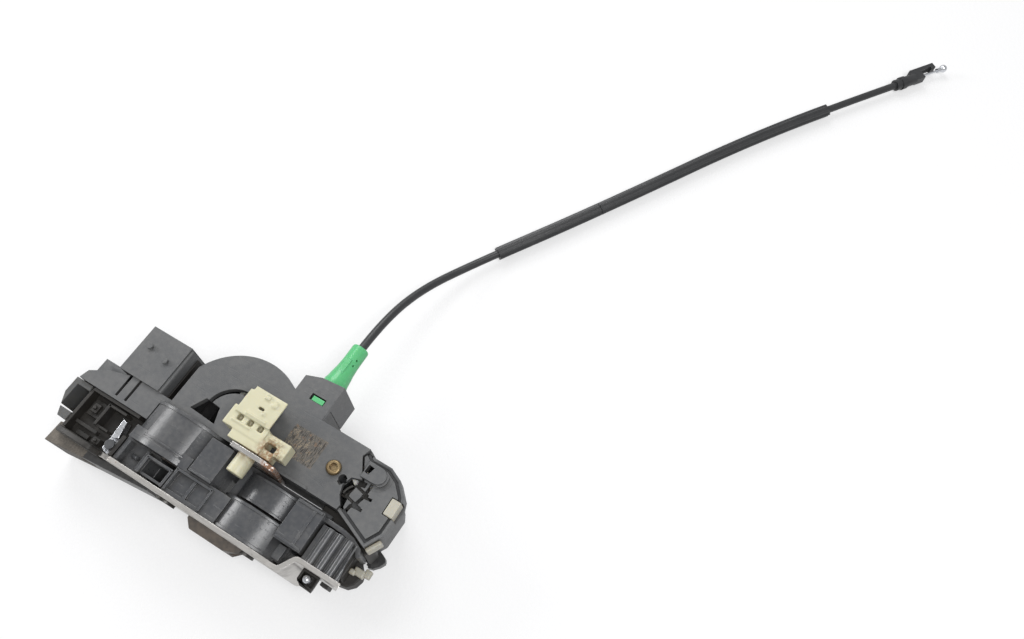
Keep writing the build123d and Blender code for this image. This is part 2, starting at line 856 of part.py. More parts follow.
def cover_outline():
    """Main cover: the case outline left of the lid, plus the cable holder."""
    case_outline()
    with BuildLine() as outline:
        Polyline(
            (59.3, case_top + 1),
            (57.5, 24),
            (60.5, 19.5),
            (64, 14.3),
            (59, 12.7),
            (57.3, 7.7),
            (58.8, 3),
            (62, -0.8),
            (61.4, case_front - 1),
            (95, -30),
            (95, 40),
            close=True,
        )
    make_face(outline.edges(), mode=Mode.SUBTRACT)
    holder_outline()


def holder_outline():
    """Plan outline of the cable holder."""
    with BuildLine() as outline:
        Polyline(
            (8.3, bay_top - 0.5),
            (8.3, 44.2),
            (16.5, 47.2),
            (bay_right, 48.4),
            (bay_right, bay_top - 0.5),
            close=True,
        )
    make_face(outline.edges())


def build_actuator_cover():
    """Flat cover with the half-disc, its windows and the cable holder."""
    with BuildPart() as actuator_cover:
        with BuildSketch(Plane.XY.offset(cover_base)):
            cover_outline()
        extrude(amount=cover_t)
        with BuildSketch(Plane.XY.offset(12)):
            holder_outline()
            with Locations((0, bay_top - 50 + 0.25)):
                Rectangle(200, 100, mode=Mode.SUBTRACT)
        extrude(amount=cover_base - 12)
        with BuildSketch(Plane.XY.offset(cover_base)):
            with BuildLine():
                Polyline((-30.9, 0.9), (-26.7, 8.9), (-17.7, 8.1), (-16.9, 5.5), (-14.9, 0), close=True)
            make_face()
            make_face(ring_slot(hub_x, hub_y, 13.2, 15.6, 62, 172))
            with Locations((55.6, 10.0)):
                Circle(2.1)
            with Locations((screw_x, screw_y)):
                Circle(screw_shank_r + 0.2)
            with Locations((18.3, 38.2)):
                Rectangle(9.4, 3)
        extrude(amount=cover_t, mode=Mode.SUBTRACT)
        block(13.6, 23, 36.7, 39.7, cable_z, cover_base, mode=Mode.SUBTRACT)
        rod_y(cable_x, cable_z, ferrule_shank_r, bay_top, 50, mode=Mode.SUBTRACT)
        block(26, 44, case_front, case_front + 1.2, cover_top, cover_top + 0.8)
    actuator_cover.part.label = "actuator_cover"
    export_step(actuator_cover.part, "parts/actuator_cover.step")


def ring_slot(cx, cy, r_in, r_out, first, last):
    """Sector of a ring about a centre, as edges for a face."""
    middle = (first + last) / 2
    with BuildLine() as outline:
        Line(polar(cx, cy, r_in, first), polar(cx, cy, r_out, first))
        ThreePointArc(polar(cx, cy, r_out, first), polar(cx, cy, r_out, middle), polar(cx, cy, r_out, last))
        Line(polar(cx, cy, r_out, last), polar(cx, cy, r_in, last))
        ThreePointArc(polar(cx, cy, r_in, last), polar(cx, cy, r_in, middle), polar(cx, cy, r_in, first))
    return outline.edges()


def lid_region(gap):
    """Plan region of the right lid inside the case rim."""
    case_outline()
    offset(amount=-rim_t - gap)
    with BuildLine() as outline:
        Polyline(
            (60.3, case_top + 1),
            (58.4, 24.2),
            (61.3, 19.8),
            (65.3, 14.1),
            (63.5, 10.7),
            (62.8, 5.8),
            (63.3, 1.5),
            (64.2, case_front - 1),
            (-60, -40),
            (-60, 60),
            (60.3, 60),
            close=True,
        )
    make_face(outline.edges(), mode=Mode.SUBTRACT)


def tab_space():
    """Clear the upper nylon tab out of the active part."""
    block(81, 90, 5.6, 14.9, 33.8, 45, mode=Mode.SUBTRACT)


def build_right_lid():
    """Separate lid over the lock lever, with its seal strip."""
    seal_w = 1.5
    with BuildPart() as right_lid:
        with BuildSketch(Plane.XY.offset(cover_base)):
            lid_region(seal_w)
        extrude(amount=2.6)
        with BuildSketch(Plane.XY.offset(cover_base + 2.6)):
            with Locations(Location((69.3, 19.2, 0), (0, 0, -8))):
                SlotOverall(13.5, 7.5)
        extrude(amount=1.6)
        with BuildSketch(Plane.XY.offset(cover_base)):
            make_face(ring_slot(lock_x, lock_y, 7.6, 10.4, 95, 140))
            with Locations((65, 20.2)):
                Rectangle(3.6, 4.2)
            for bar_y in (10.0, 3.2, -3.7):
                with Locations(Location((66.4, bar_y, 0), (0, 0, -12))):
                    Rectangle(9.4, 1.5)
        extrude(amount=6, mode=Mode.SUBTRACT)
        tab_space()
    right_lid.part.label = "right_lid"
    export_step(right_lid.part, "parts/right_lid.step")
    with BuildPart() as lid_seal:
        with BuildSketch(Plane.XY.offset(cover_base)):
            lid_region(0)
            with BuildSketch(mode=Mode.PRIVATE) as inner:
                lid_region(seal_w)
            add(inner.sketch, mode=Mode.SUBTRACT)
        extrude(amount=1.4)
        tab_space()
    lid_seal.part.label = "lid_seal"
    export_step(lid_seal.part, "parts/lid_seal.step")


def build_cover_screw():
    """Yellow-zinc screw that holds the cover."""
    head_r = 3.8
    with BuildPart() as cover_screw:
        rod_z(screw_x, screw_y, screw_shank_r, cover_base - 10, cover_top)
        rod_z(screw_x, screw_y, head_r, cover_top, cover_top + 2.2)
        chamfer(cover_screw.faces().sort_by(Axis.Z)[-1].edges(), 0.7)
        with BuildSketch(Plane.XY.offset(cover_top + 2.2)):
            with Locations((screw_x, screw_y)):
                RegularPolygon(1.9, 6)
                with Locations(Location((0, 0, 0), (0, 0, 30))):
                    RegularPolygon(1.9, 6)
        extrude(amount=-1.5, mode=Mode.SUBTRACT)
    cover_screw.part.label = "cover_screw"
    export_step(cover_screw.part, "parts/cover_screw.step")


def build_carrier_tabs():
    """Natural nylon tabs that lock the right end together."""
    with BuildPart() as carrier_tabs:
        block(81.3, 86.6, 5.9, 14.6, 33.8, 41.4)
        with BuildSketch(Plane.XY.offset(31)):
            with BuildLine():
                Polyline((86.57, -4.27), (88.63, -5.42), (84.64, -12.58), (82.59, -11.44), close=True)
            make_face()
        extrude(amount=7.2)
        block(deck_right + 0.05, deck_right + 3.5, -21, -16.8, low_deck - 1, low_deck + 3.5)
    carrier_tabs.part.label = "carrier_tabs"
    export_step(carrier_tabs.part, "parts/carrier_tabs.step")


# ---------------------------------------------------------------- drive train
def build_worm_sector():
    """Half worm wheel on the case axle, with the crank for the lock link."""
    first = math.floor((sector_start - worm_angle) * teeth / 360)
    last = math.ceil((sector_end - worm_angle) * teeth / 360)
    with BuildPart() as worm_sector:
        with BuildSketch(Plane.XY.offset(gear_low)):
            with Locations((hub_x, hub_y)):
                Circle(gear_tip_r)
            with BuildLine():
                Polyline(
                    (hub_x, hub_y),
                    polar(hub_x, hub_y, 40, sector_end),
                    polar(hub_x, hub_y, 60, 230),
                    polar(hub_x, hub_y, 60, 300),
                    polar(hub_x, hub_y, 40, sector_start),
                    close=True,
                )
            make_face(mode=Mode.SUBTRACT)
            with Locations((hub_x, hub_y)):
                Circle(hub_r)
            for step in range(first, last + 1):
                gap_face(worm_angle + 360 * step / teeth)
        extrude(amount=gear_high - gear_low)
        rod_z(hub_x, hub_y, hub_r, gear_high, crank_high + 1)
        with BuildSketch(Plane.XY.offset(crank_low)):
            with BuildLine():
                Polyline(
                    (hub_x - 5, hub_y),
                    (hub_x + 5, hub_y),
                    polar(hub_x, hub_y, crank_r + 2, crank_angle - 9),
                    polar(hub_x, hub_y, crank_r + 2, crank_angle + 9),
                    close=True,
                )
            make_face()
        extrude(amount=crank_high - crank_low)
        crank = polar(hub_x, hub_y, crank_r, crank_angle)
        rod_z(crank[0], crank[1], crank_pin_r, crank_high, link_high)
        rod_z(hub_x, hub_y, axle_r + run_gap, gear_low, crank_high + 1, mode=Mode.SUBTRACT)
    worm_sector.part.label = "worm_sector"
    export_step(worm_sector.part, "parts/worm_sector.step")


def gap_face(angle):
    """Cut one trapezoid gap between two teeth, at an angle round the wheel."""
    half_tip = 0.98
    half_root = 0.55
    tip = gear_tip_r + 0.5
    corners = []
    for reach, side in ((gear_root_r, -half_root), (tip, -half_tip), (tip, half_tip), (gear_root_r, half_root)):
        corners.append(polar(*polar(hub_x, hub_y, reach, angle), side, angle + 90))
    with BuildLine() as outline:
        Polyline(*corners, close=True)
    make_face(outline.edges(), mode=Mode.SUBTRACT)


def build_worm():
    """Worm with its shaft, along the motor axis."""
    along = worm_angle - 90
    pitch = 2 * math.pi * gear_r / teeth
    turns = 4
    start = polar(worm_x, worm_y, -worm_length / 2, along)
    with BuildPart(Plane(origin=(start[0], start[1], worm_z), x_dir=(0, 0, 1), z_dir=axis_vector(along))) as worm:
        Cylinder(worm_root_r, worm_length, align=(Align.CENTER, Align.CENTER, Align.MIN))
        with Locations((0, 0, worm_length)):
            Cylinder(1.2, motor_start - worm_length / 2, align=(Align.CENTER, Align.CENTER, Align.MIN))
        with Locations((0, 0, -3)):
            Cylinder(1.2, 3, align=(Align.CENTER, Align.CENTER, Align.MIN))
    with BuildPart() as thread:
        with BuildLine() as coil:
            Helix(pitch=pitch, height=turns * pitch, radius=worm_root_r)
        with BuildSketch(Plane.XZ):
            with BuildLine():
                Polyline(
                    (worm_root_r - 0.3, -0.62),
                    (worm_tip_r, -0.25),
                    (worm_tip_r, 0.25),
                    (worm_root_r - 0.3, 0.62),
                    close=True,
                )
            make_face()
        sweep(path=coil.line, is_frenet=True)
    middle = Plane(origin=(worm_x, worm_y, worm_z), x_dir=thread_start(), z_dir=axis_vector(along))
    placed = middle.location * Pos(0, 0, -turns * pitch / 2) * thread.part
    with BuildPart() as worm_screw:
        add(worm.part)
        add(placed)
    worm_screw.part.label = "worm"
    export_step(worm_screw.part, "parts/worm.step")


def axis_vector(degrees):
    """Unit vector in the plan at an angle."""
    return (math.cos(math.radians(degrees)), math.sin(math.radians(degrees)), 0)


def thread_start():
    """Direction from the worm towards the wheel."""
    return axis_vector(worm_angle + 180)


def build_motor():
    """Flat-sided motor can with its end cap."""
    along = worm_angle - 90
    near = polar(worm_x, worm_y, motor_start, along)
    place = Plane(origin=(near[0], near[1], worm_z), x_dir=(0, 0, 1), z_dir=axis_vector(along))
    can = motor_length - 4
    with BuildPart() as motor_can:
        with BuildSketch(place):
            RectangleRounded(motor_height, motor_width, 5)
            Circle(1.2 + run_gap, mode=Mode.SUBTRACT)
        extrude(amount=can)
    motor_can.part.label = "motor_can"
    export_step(motor_can.part, "parts/motor_can.step")
    with BuildPart() as motor_cap:
        with BuildSketch(place.offset(can)):
            RectangleRounded(motor_height - 0.6, motor_width - 0.6, 4.7)
        extrude(amount=4)
    motor_cap.part.label = "motor_cap"
    export_step(motor_cap.part, "parts/motor_cap.step")


def build_lock_link():
    """Sliding link from the crank to the lock lever."""
    crank = polar(hub_x, hub_y, crank_r, crank_angle)
    lock_pin = polar(lock_x, lock_y, lock_pin_r, lock_angle)
    nose = 3.0
    with BuildPart() as lock_link:
        with BuildSketch(Plane.XY.offset(link_low)):
            with BuildLine():
                Polyline(
                    (crank[0] - 4.5, 26),
                    (52, 26),
                    (60, 20.2),
                    (lock_pin[0] + 4.5 - nose, 20.2),
                    (lock_pin[0] + 4.5, 20.2 - nose),
                    (lock_pin[0] + 4.5, 11.6),
                    (lock_pin[0] - 4.5, 11.6),
                    (49, 20),
                    (crank[0] + 4.5, 20),
                    (crank[0] + 4.5, 17.8),
                    (crank[0] - 4.5, 17.8),
                    close=True,
                )
            make_face()
            with Locations(Location((crank[0], 21.9, 0), (0, 0, 90))):
                SlotOverall(6.6, 2 * crank_pin_r + 0.3, mode=Mode.SUBTRACT)
            with Locations(Location((lock_pin[0], 15.6, 0), (0, 0, 90))):
                SlotOverall(6.4, 2 * crank_pin_r + 0.5, mode=Mode.SUBTRACT)
        extrude(amount=link_high - link_low)
    lock_link.part.label = "lock_link"
    export_step(lock_link.part, "parts/lock_link.step")


def build_lock_lever():
    """Steel lock lever that shows through the arc slot of the lid."""
    pin = polar(lock_x, lock_y, lock_pin_r, lock_angle)
    low = 34.2
    with BuildPart() as lock_lever:
        with BuildSketch(Plane.XY.offset(low)):
            with Locations((lock_x, lock_y)):
                Circle(5.5)
            make_face(ring_slot(lock_x, lock_y, 4, 10, 100, 182))
            with BuildLine():
                Polyline(
                    (lock_x - 4, lock_y),
                    (lock_x + 4, lock_y),
                    polar(lock_x, lock_y, lock_pin_r + 2, lock_angle - 10),
                    polar(lock_x, lock_y, lock_pin_r + 2, lock_angle + 10),
                    close=True,
                )
            make_face()
            with Locations((lock_x, lock_y)):
                Circle(axle_r + run_gap, mode=Mode.SUBTRACT)
        extrude(amount=1.8)
        with BuildSketch(Plane.XY.offset(low + 1.8)):
            make_face(ring_slot(lock_x, lock_y, 8.4, 9.4, 138, 176))
        extrude(amount=3.6)
        rod_z(pin[0], pin[1], crank_pin_r, link_low, low)
    lock_lever.part.label = "lock_lever"
    export_step(lock_lever.part, "parts/lock_lever.step")


def build_microswitches():
    """Two position switches on the case floor."""
    with BuildPart() as microswitches:
        block(-38.6, -32.4, 2, 14.8, case_floor, case_floor + 6)
        block(55, 61.2, 2, 14.8, case_floor, case_floor + 6)
    microswitches.part.label = "microswitches"
    export_step(microswitches.part, "parts/microswitches.step")


# ---------------------------------------------------------------- cable
def build_inside_lever():
    """Lever the inner cable pulls, inside the case."""
    low = 24.6
    with BuildPart() as inside_lever:
        with BuildSketch(Plane.XY.offset(low)):
            with BuildLine():
                Polyline(
                    (inside_pivot_x, inside_pivot_y + 6),
                    (inside_pivot_x, inside_pivot_y - 6),
                    (cable_x - 5.2, cable_start_y - 4.8),
                    (cable_x - 5.2, cable_start_y + 5.6),
                    (inside_pivot_x - 15, inside_pivot_y + 1.0),
                    (inside_pivot_x - 5, inside_pivot_y + 4.3),
                    close=True,
                )
            make_face()
            with Locations((inside_pivot_x, inside_pivot_y)):
                Circle(6)
                Circle(axle_r + run_gap, mode=Mode.SUBTRACT)
            with Locations((cable_x, cable_start_y)):
                RectangleRounded(2 * nipple_r + 1.6, 2 * nipple_r + 0.4, nipple_r, mode=Mode.SUBTRACT)
            with BuildLine():
                Polyline(
                    (cable_x - 1.7, cable_start_y),
                    (cable_x + 1.7, cable_start_y),
                    (cable_x + 1.7, cable_start_y + 10),
                    (cable_x - 6.6, cable_start_y + 10),
                    close=True,
                )
            make_face(mode=Mode.SUBTRACT)
        extrude(amount=2.8)
    inside_lever.part.label = "inside_lever"
    export_step(inside_lever.part, "parts/inside_lever.step")


def build_inner_wire():
    """Inner cable with its nipple, at the latch end."""
    with BuildPart() as inner_wire:
        rod_z(cable_x, cable_start_y, nipple_r, 24, 28.2)
        rod_y(cable_x, cable_z, wire_r, cable_start_y, ferrule_seat_y - cable_travel - 2)
    inner_wire.part.label = "inner_wire"
    export_step(inner_wire.part, "parts/inner_wire.step")


def build_cable_ferrule():
    """Green ferrule that snaps into the cable holder."""
    flange_y = 49.0
    with BuildPart() as cable_ferrule:
        with BuildSketch(Plane.YZ.offset(cable_x)):
            with BuildLine():
                Polyline(
                    (bay_top + 1, cable_z),
                    (bay_top + 1, cable_z + ferrule_shank_r),
                    (flange_y, cable_z + ferrule_shank_r),
                    (flange_y, cable_z + 6.6),
                    (flange_y + 3, cable_z + 6.6),
                    (flange_y + 10, cable_z + 4.6),
                    (ferrule_tip_y - 8, cable_z + 4.2),
                    (ferrule_tip_y - 8, cable_z + 4.6),
                    (ferrule_tip_y, cable_z + 4.4),
                    (ferrule_tip_y, cable_z),
                    close=True,
                )
            make_face()
        revolve(axis=Axis((cable_x, 0, cable_z), (0, 1, 0)))
        block(14.2, 22.2, 37, 39.2, cable_z + 2, cover_base - 0.5)
        rod_y(cable_x, cable_z, wire_r + 0.35, 30, ferrule_seat_y, mode=Mode.SUBTRACT)
        rod_y(cable_x, cable_z, sheath_r, ferrule_seat_y, 90, mode=Mode.SUBTRACT)
    cable_ferrule.part.label = "cable_ferrule"
    export_step(cable_ferrule.part, "parts/cable_ferrule.step")


def route_lengths(points, radii):
    """Length of a route of straight runs and tangent arcs."""
    total = 0.0
    for first, second in zip(points, points[1:]):
        total += (Vector(second) - Vector(first)).length
    for before, corner, after, radius in zip(points, points[1:], points[2:], radii):
        turn = math.radians((Vector(corner) - Vector(before)).get_angle(Vector(after) - Vector(corner)))
        total += radius * turn - 2 * radius * math.tan(turn / 2)
    return total


def bend_radii(points):
    """Bend radius at each inner point, from the shorter run beside it."""
    radii = []
    for before, corner, after in zip(points, points[1:], points[2:]):
        arriving = Vector(corner) - Vector(before)
        leaving = Vector(after) - Vector(corner)
        turn = math.radians(arriving.get_angle(leaving))
        radii.append(0.45 * min(arriving.length, leaving.length) / math.tan(turn / 2))
    return radii


def route_wire():
    """Cable centre line: straight runs joined by tangent arcs."""
    with BuildLine() as line:
        FilletPolyline(*route, radius=bend_radii(route))
    return line.line


def build_cable_sheath():
    """Plain outer sheath of the cable."""
    path = route_wire()
    with BuildPart() as cable_sheath:
        with BuildSketch(Plane(origin=route[0], z_dir=(0, 1, 0))):
            Circle(sheath_r)
        sweep(path=path)
    cable_sheath.part.label = "cable_sheath"
    export_step(cable_sheath.part, "parts/cable_sheath.step")
    radii = bend_radii(route)
    length = route_lengths(route, radii)
    section = math.pi * sheath_r ** 2
    print("bend radii", [round(radius, 1) for radius in radii])
    print("sheath length", round(length, 1))
    print("volume against section x length", round(cable_sheath.part.volume / (section * length), 4))


def sleeve_cut(spot, keep_forward):
    """Half space across the cable at a plan point."""
    direction = (0.55, 0.835, 0)
    side = 1 if keep_forward else -1
    plane = Plane(origin=(spot[0], spot[1], cable_flat_z), z_dir=(side * direction[0], side * direction[1], 0))
    with BuildSketch(plane) as section:
        Rectangle(300, 300)
    extrude(section.sketch, amount=600, mode=Mode.INTERSECT)


def ribbed_section():
    """Star-shaped section of the sleeve with its bore."""
    Circle(sleeve_r - 0.9)
    with PolarLocations(sleeve_r - 0.75, sleeve_ribs):
        Circle(0.75)
    Circle(sheath_r + 0.03, mode=Mode.SUBTRACT)


def build_sleeves():
    """Two ribbed sleeves that slide over the sheath."""
    first = Plane(origin=route[3], z_dir=Vector(route[4]) - Vector(route[3]))
    with BuildLine() as line:
        FilletPolyline(*route[3:], radius=bend_radii(route[3:]))
    with BuildPart() as ribbed_run:
        with BuildSketch(first):
            ribbed_section()
        sweep(path=line.line)
    half_gap = 0.3
    with BuildPart() as sleeve_near:
        add(ribbed_run.part)
        sleeve_cut(sleeve_start, True)
        sleeve_cut((sleeve_joint[0] - half_gap, sleeve_joint[1] - half_gap), False)
    sleeve_near.part.label = "sleeve_near"
    export_step(sleeve_near.part, "parts/sleeve_near.step")
    with BuildPart() as sleeve_far:
        add(ribbed_run.part)
        sleeve_cut((sleeve_joint[0] + half_gap, sleeve_joint[1] + half_gap), True)
        sleeve_cut(sleeve_end, False)
    sleeve_far.part.label = "sleeve_far"
    export_step(sleeve_far.part, "parts/sleeve_far.step")


def end_plane():
    """Plane at the end of the sheath, local X along the cable."""
    leaving = Vector(route[-1]) - Vector(route[-2])
    return Plane(origin=route[-1], x_dir=leaving, z_dir=(0, 0, 1))


def rod_along(radius, start, end, mode=Mode.ADD):
    """Round bar along local X of the active plane."""
    with Locations(Location(((start + end) / 2, 0, 0), (0, 90, 0))):
        Cylinder(radius, end - start, mode=mode)


def box_along(x0, x1, y0, y1, z0, z1, mode=Mode.ADD):
    """Box in the active plane."""
    with Locations(((x0 + x1) / 2, (y0 + y1) / 2, (z0 + z1) / 2)):
        Box(x1 - x0, y1 - y0, z1 - z0, mode=mode)


def build_end_ferrule():
    """Black end fitting with a side clip arm, at the handle end."""
    with BuildPart(end_plane()) as end_ferrule:
        rod_along(3.6, -7, 8)
        rod_along(4.2, -3, 0)
        box_along(7, 14, -3, 5.5, -2.6, 2.6)
        box_along(12, 25, 3.0, 5.5, -2.6, 2.6)
        box_along(22, 25, 1.6, 5.5, -2.6, 2.6)
        box_along(14.5, 20.5, 2, 7, -1.3, 1.3, mode=Mode.SUBTRACT)
        rod_along(1.0, -0.1, 30, mode=Mode.SUBTRACT)
        rod_along(sheath_r, -20, 0, mode=Mode.SUBTRACT)
    end_ferrule.part.label = "end_ferrule"
    export_step(end_ferrule.part, "parts/end_ferrule.step")


def build_pull_wire():
    """Inner cable end with its ball, at the handle end."""
    with BuildPart(end_plane()) as pull_wire:
        rod_along(wire_r, 0.5, 31)
        with Locations((31, 0, 0)):
            Sphere(2.5)
        rod_along(1.5, 26, 29)
    pull_wire.part.label = "pull_wire"
    export_step(pull_wire.part, "parts/pull_wire.step")


build_frame_plate()
build_mouth_surround()
build_back_plate()
build_claw_pin()
build_pawl_pin()
build_claw()
build_pawl()
build_spring("claw_spring", claw_x, claw_z)
build_spring("pawl_spring", pawl_x, pawl_z)
build_latch_housing()
build_lever_pin()
build_release_lever()
build_rod_clip()
build_key_lever()
build_key_bearing()
build_entrance_seal()
build_lug_cap()
build_hook_lever()
build_actuator_case()
build_connector_terminals()
build_actuator_cover()
build_right_lid()
build_cover_screw()
build_carrier_tabs()
build_worm_sector()
build_worm()
build_motor()
build_lock_link()
build_lock_lever()
build_microswitches()
build_inside_lever()
build_inner_wire()
build_cable_ferrule()
build_cable_sheath()
build_sleeves()
build_end_ferrule()
build_pull_wire()
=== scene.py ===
"""Looks of a side-door latch with its locking actuator and inner-handle cable."""
import json
import logging
import math
from dataclasses import dataclass, field
from enum import Enum

import bmesh
import bpy
from mathutils import Matrix, Vector


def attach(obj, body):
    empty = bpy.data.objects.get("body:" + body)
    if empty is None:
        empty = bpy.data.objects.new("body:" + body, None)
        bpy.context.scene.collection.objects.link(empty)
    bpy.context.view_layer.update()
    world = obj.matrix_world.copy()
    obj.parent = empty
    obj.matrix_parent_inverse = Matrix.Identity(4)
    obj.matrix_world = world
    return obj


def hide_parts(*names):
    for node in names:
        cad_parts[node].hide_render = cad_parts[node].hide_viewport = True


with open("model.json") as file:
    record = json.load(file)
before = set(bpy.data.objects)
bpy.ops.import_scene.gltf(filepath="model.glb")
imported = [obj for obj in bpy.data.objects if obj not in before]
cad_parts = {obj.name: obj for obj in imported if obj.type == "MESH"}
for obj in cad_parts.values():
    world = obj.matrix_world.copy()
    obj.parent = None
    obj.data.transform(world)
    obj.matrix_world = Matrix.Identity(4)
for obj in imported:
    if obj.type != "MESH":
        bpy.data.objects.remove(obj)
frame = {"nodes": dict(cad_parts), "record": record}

logging.basicConfig(level=logging.INFO, format="%(name)s: %(message)s")
log = logging.getLogger("door_latch")

MM = 0.001
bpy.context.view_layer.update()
Colour = tuple[float, float, float]
Point = tuple[float, float, float]
Flat = tuple[float, float]
Block = tuple[Point, Point]


class Value:
    """Number socket of a shader that takes part in plain arithmetic."""

    def __init__(self, shader: "Shader", socket: bpy.types.NodeSocket) -> None:
        """Keep the socket and the shader it belongs to."""
        self.shader = shader
        self.socket = socket

    def _maths(self, operation: str, first: object, second: object) -> "Value":
        """Add one Math node.

        Args:
            operation: Name of the Math node's operation.
            first: Value or number of the upper socket.
            second: Value or number of the lower socket.

        Returns:
            The node's result.
        """
        made = self.shader.node("ShaderNodeMath", {"operation": operation}, {0: first, 1: second})
        return Value(self.shader, made.outputs[0])

    def __add__(self, other: object) -> "Value":
        """Sum of two values."""
        return self._maths("ADD", self, other)

    def __radd__(self, other: object) -> "Value":
        """Sum with a number on the left."""
        return self._maths("ADD", other, self)

    def __sub__(self, other: object) -> "Value":
        """Difference of two values."""
        return self._maths("SUBTRACT", self, other)

    def __rsub__(self, other: object) -> "Value":
        """Difference from a number on the left."""
        return self._maths("SUBTRACT", other, self)

    def __mul__(self, other: object) -> "Value":
        """Product of two values."""
        return self._maths("MULTIPLY", self, other)

    def __rmul__(self, other: object) -> "Value":
        """Product with a number on the left."""
        return self._maths("MULTIPLY", other, self)

    def least(self, other: object) -> "Value":
        """Smaller of two values."""
        return self._maths("MINIMUM", self, other)

    def most(self, other: object) -> "Value":
        """Larger of two values."""
        return self._maths("MAXIMUM", self, other)

    def step(self, low: float, high: float) -> "Value":
        """Smooth rise from 0 at one value to 1 at another.

        Args:
            low: Value where the result is 0.
            high: Value where the result is 1.

        Returns:
            A value between 0 and 1.
        """
        made = self.shader.node(
            "ShaderNodeMapRange",
            {"interpolation_type": "SMOOTHSTEP", "clamp": True},
            {"Value": self, "From Min": low, "From Max": high},
        )
        return Value(self.shader, made.outputs[0])


class Shader:
    """Node tree of one material, with one way to add any node."""

    def __init__(self, name: str) -> None:
        """Make an empty material with a Principled surface.

        Args:
            name: Name of the material.
        """
        self.material = bpy.data.materials.new(name)
        self.material.use_nodes = True
        self.tree = self.material.node_tree
        self.tree.nodes.clear()
        self.surface = self.tree.nodes.new("ShaderNodeBsdfPrincipled")
        out = self.tree.nodes.new("ShaderNodeOutputMaterial")
        self.tree.links.new(self.surface.outputs[0], out.inputs[0])
        where = self.tree.nodes.new("ShaderNodeTexCoord")
        self.place = where.outputs["Object"]

    def node(
        self,
        kind: str,
        settings: dict[str, object] | None = None,
        inputs: dict[object, object] | None = None,
    ) -> bpy.types.Node:
        """Add a node.

        Args:
            kind: Node type.
            settings: Node settings, which are set first.
            inputs: Number, colour, vector or link of each named socket.

        Returns:
            The new node.
        """
        made = self.tree.nodes.new(kind)
        for name, value in (settings or {}).items():
            setattr(made, name, value)
        for key, value in (inputs or {}).items():
            self.feed(made.inputs[key], value)
        return made

    def feed(self, socket: bpy.types.NodeSocket, value: object) -> None:
        """Link or set one socket.

        Args:
            socket: Socket that receives the value.
            value: Value, socket, number, colour or vector.
        """
        if isinstance(value, Value):
            value = value.socket
        if isinstance(value, bpy.types.NodeSocket):
            self.tree.links.new(value, socket)
        elif socket.type == "RGBA":
            socket.default_value = (*value, 1.0)
        else:
            socket.default_value = value

    def noise(self, scale: float, detail: float = 4.0, stretch: Point = (1, 1, 1)) -> Value:
        """Noise over the object.

        Args:
            scale: Features per metre.
            detail: Octaves of finer noise.
            stretch: Factor of each axis before the noise is read.

        Returns:
            Noise between 0 and 1.
        """
        turned = self.node("ShaderNodeMapping", {}, {"Vector": self.place, "Scale": stretch})
        wanted = {"Vector": turned.outputs[0], "Scale": scale, "Detail": detail}
        made = self.node("ShaderNodeTexNoise", {}, wanted)
        return Value(self, made.outputs["Fac"])

    def blend(self, factor: object, first: object, second: object) -> bpy.types.NodeSocket:
        """Mix two colours.

        Args:
            factor: Share of the second colour.
            first: Colour where the factor is 0.
            second: Colour where the factor is 1.

        Returns:
            Colour socket.
        """
        made = self.node("ShaderNodeMix", {"data_type": "RGBA"}, {0: factor, 6: first, 7: second})
        return made.outputs[2]

    def spot(self, centre: Point, radius: float, soft: float) -> Value:
        """Soft ball of 1 round one point, in millimetres.

        Args:
            centre: Middle of the ball.
            radius: Radius where the value starts to fall.
            soft: Width of the soft border.

        Returns:
            Value between 0 and 1.
        """
        made = self.node(
            "ShaderNodeVectorMath",
            {"operation": "DISTANCE"},
            {0: self.place, 1: tuple(MM * part for part in centre)},
        )
        far = Value(self, made.outputs["Value"])
        return 1 - far.step(MM * radius, MM * (radius + soft))

    def patch(self, centre: Point, half: Point, soft: float) -> Value:
        """Soft block of 1 round one point, in millimetres.

        Args:
            centre: Middle of the block.
            half: Half of each side.
            soft: Width of the soft border.

        Returns:
            Value between 0 and 1.
        """
        parts = self.node("ShaderNodeSeparateXYZ", {}, {0: self.place})
        mask = None
        for axis in range(3):
            away = Value(self, parts.outputs[axis]) - MM * centre[axis]
            far = away.most(0 - away)
            inside = 1 - far.step(MM * half[axis], MM * (half[axis] + soft))
            mask = inside if mask is None else mask * inside
        return mask

    def corners(self, reach: float) -> Value:
        """Share of each place that lies in a corner or under a neighbour.

        Args:
            reach: How far the corner reaches, in millimetres.

        Returns:
            Value between 0 and 1.
        """
        made = self.node("ShaderNodeAmbientOcclusion", {"samples": 6}, {"Distance": MM * reach})
        return 1 - Value(self, made.outputs["AO"])

    def rounded(self, radius: float) -> bpy.types.NodeSocket:
        """Normal with every sharp edge rounded.

        Args:
            radius: Edge radius in millimetres.

        Returns:
            Normal socket.
        """
        made = self.node("ShaderNodeBevel", {"samples": 5}, {"Radius": MM * radius})
        return made.outputs[0]

    def worn_edges(self, radius: float) -> Value:
        """Share of each place that lies on a sharp edge.

        Args:
            radius: Width of the edge in millimetres.

        Returns:
            Value between 0 and 1.
        """
        plain = self.node("ShaderNodeNewGeometry").outputs["Normal"]
        made = self.node(
            "ShaderNodeVectorMath",
            {"operation": "DOT_PRODUCT"},
            {0: plain, 1: self.rounded(radius)},
        )
        return (1 - Value(self, made.outputs["Value"])).step(0.02, 0.25)

    def bump(
        self, height: Value, depth: float, normal: bpy.types.NodeSocket | None = None
    ) -> bpy.types.NodeSocket:
        """Bump of a height over the surface.

        Args:
            height: Height between 0 and 1.
            depth: Depth of the bump in millimetres.
            normal: Normal that the bump is laid on.

        Returns:
            Normal socket.
        """
        inputs: dict[object, object] = {"Height": height, "Distance": MM * depth, "Strength": 1.0}
        if normal is not None:
            inputs["Normal"] = normal
        return self.node("ShaderNodeBump", {}, inputs).outputs[0]

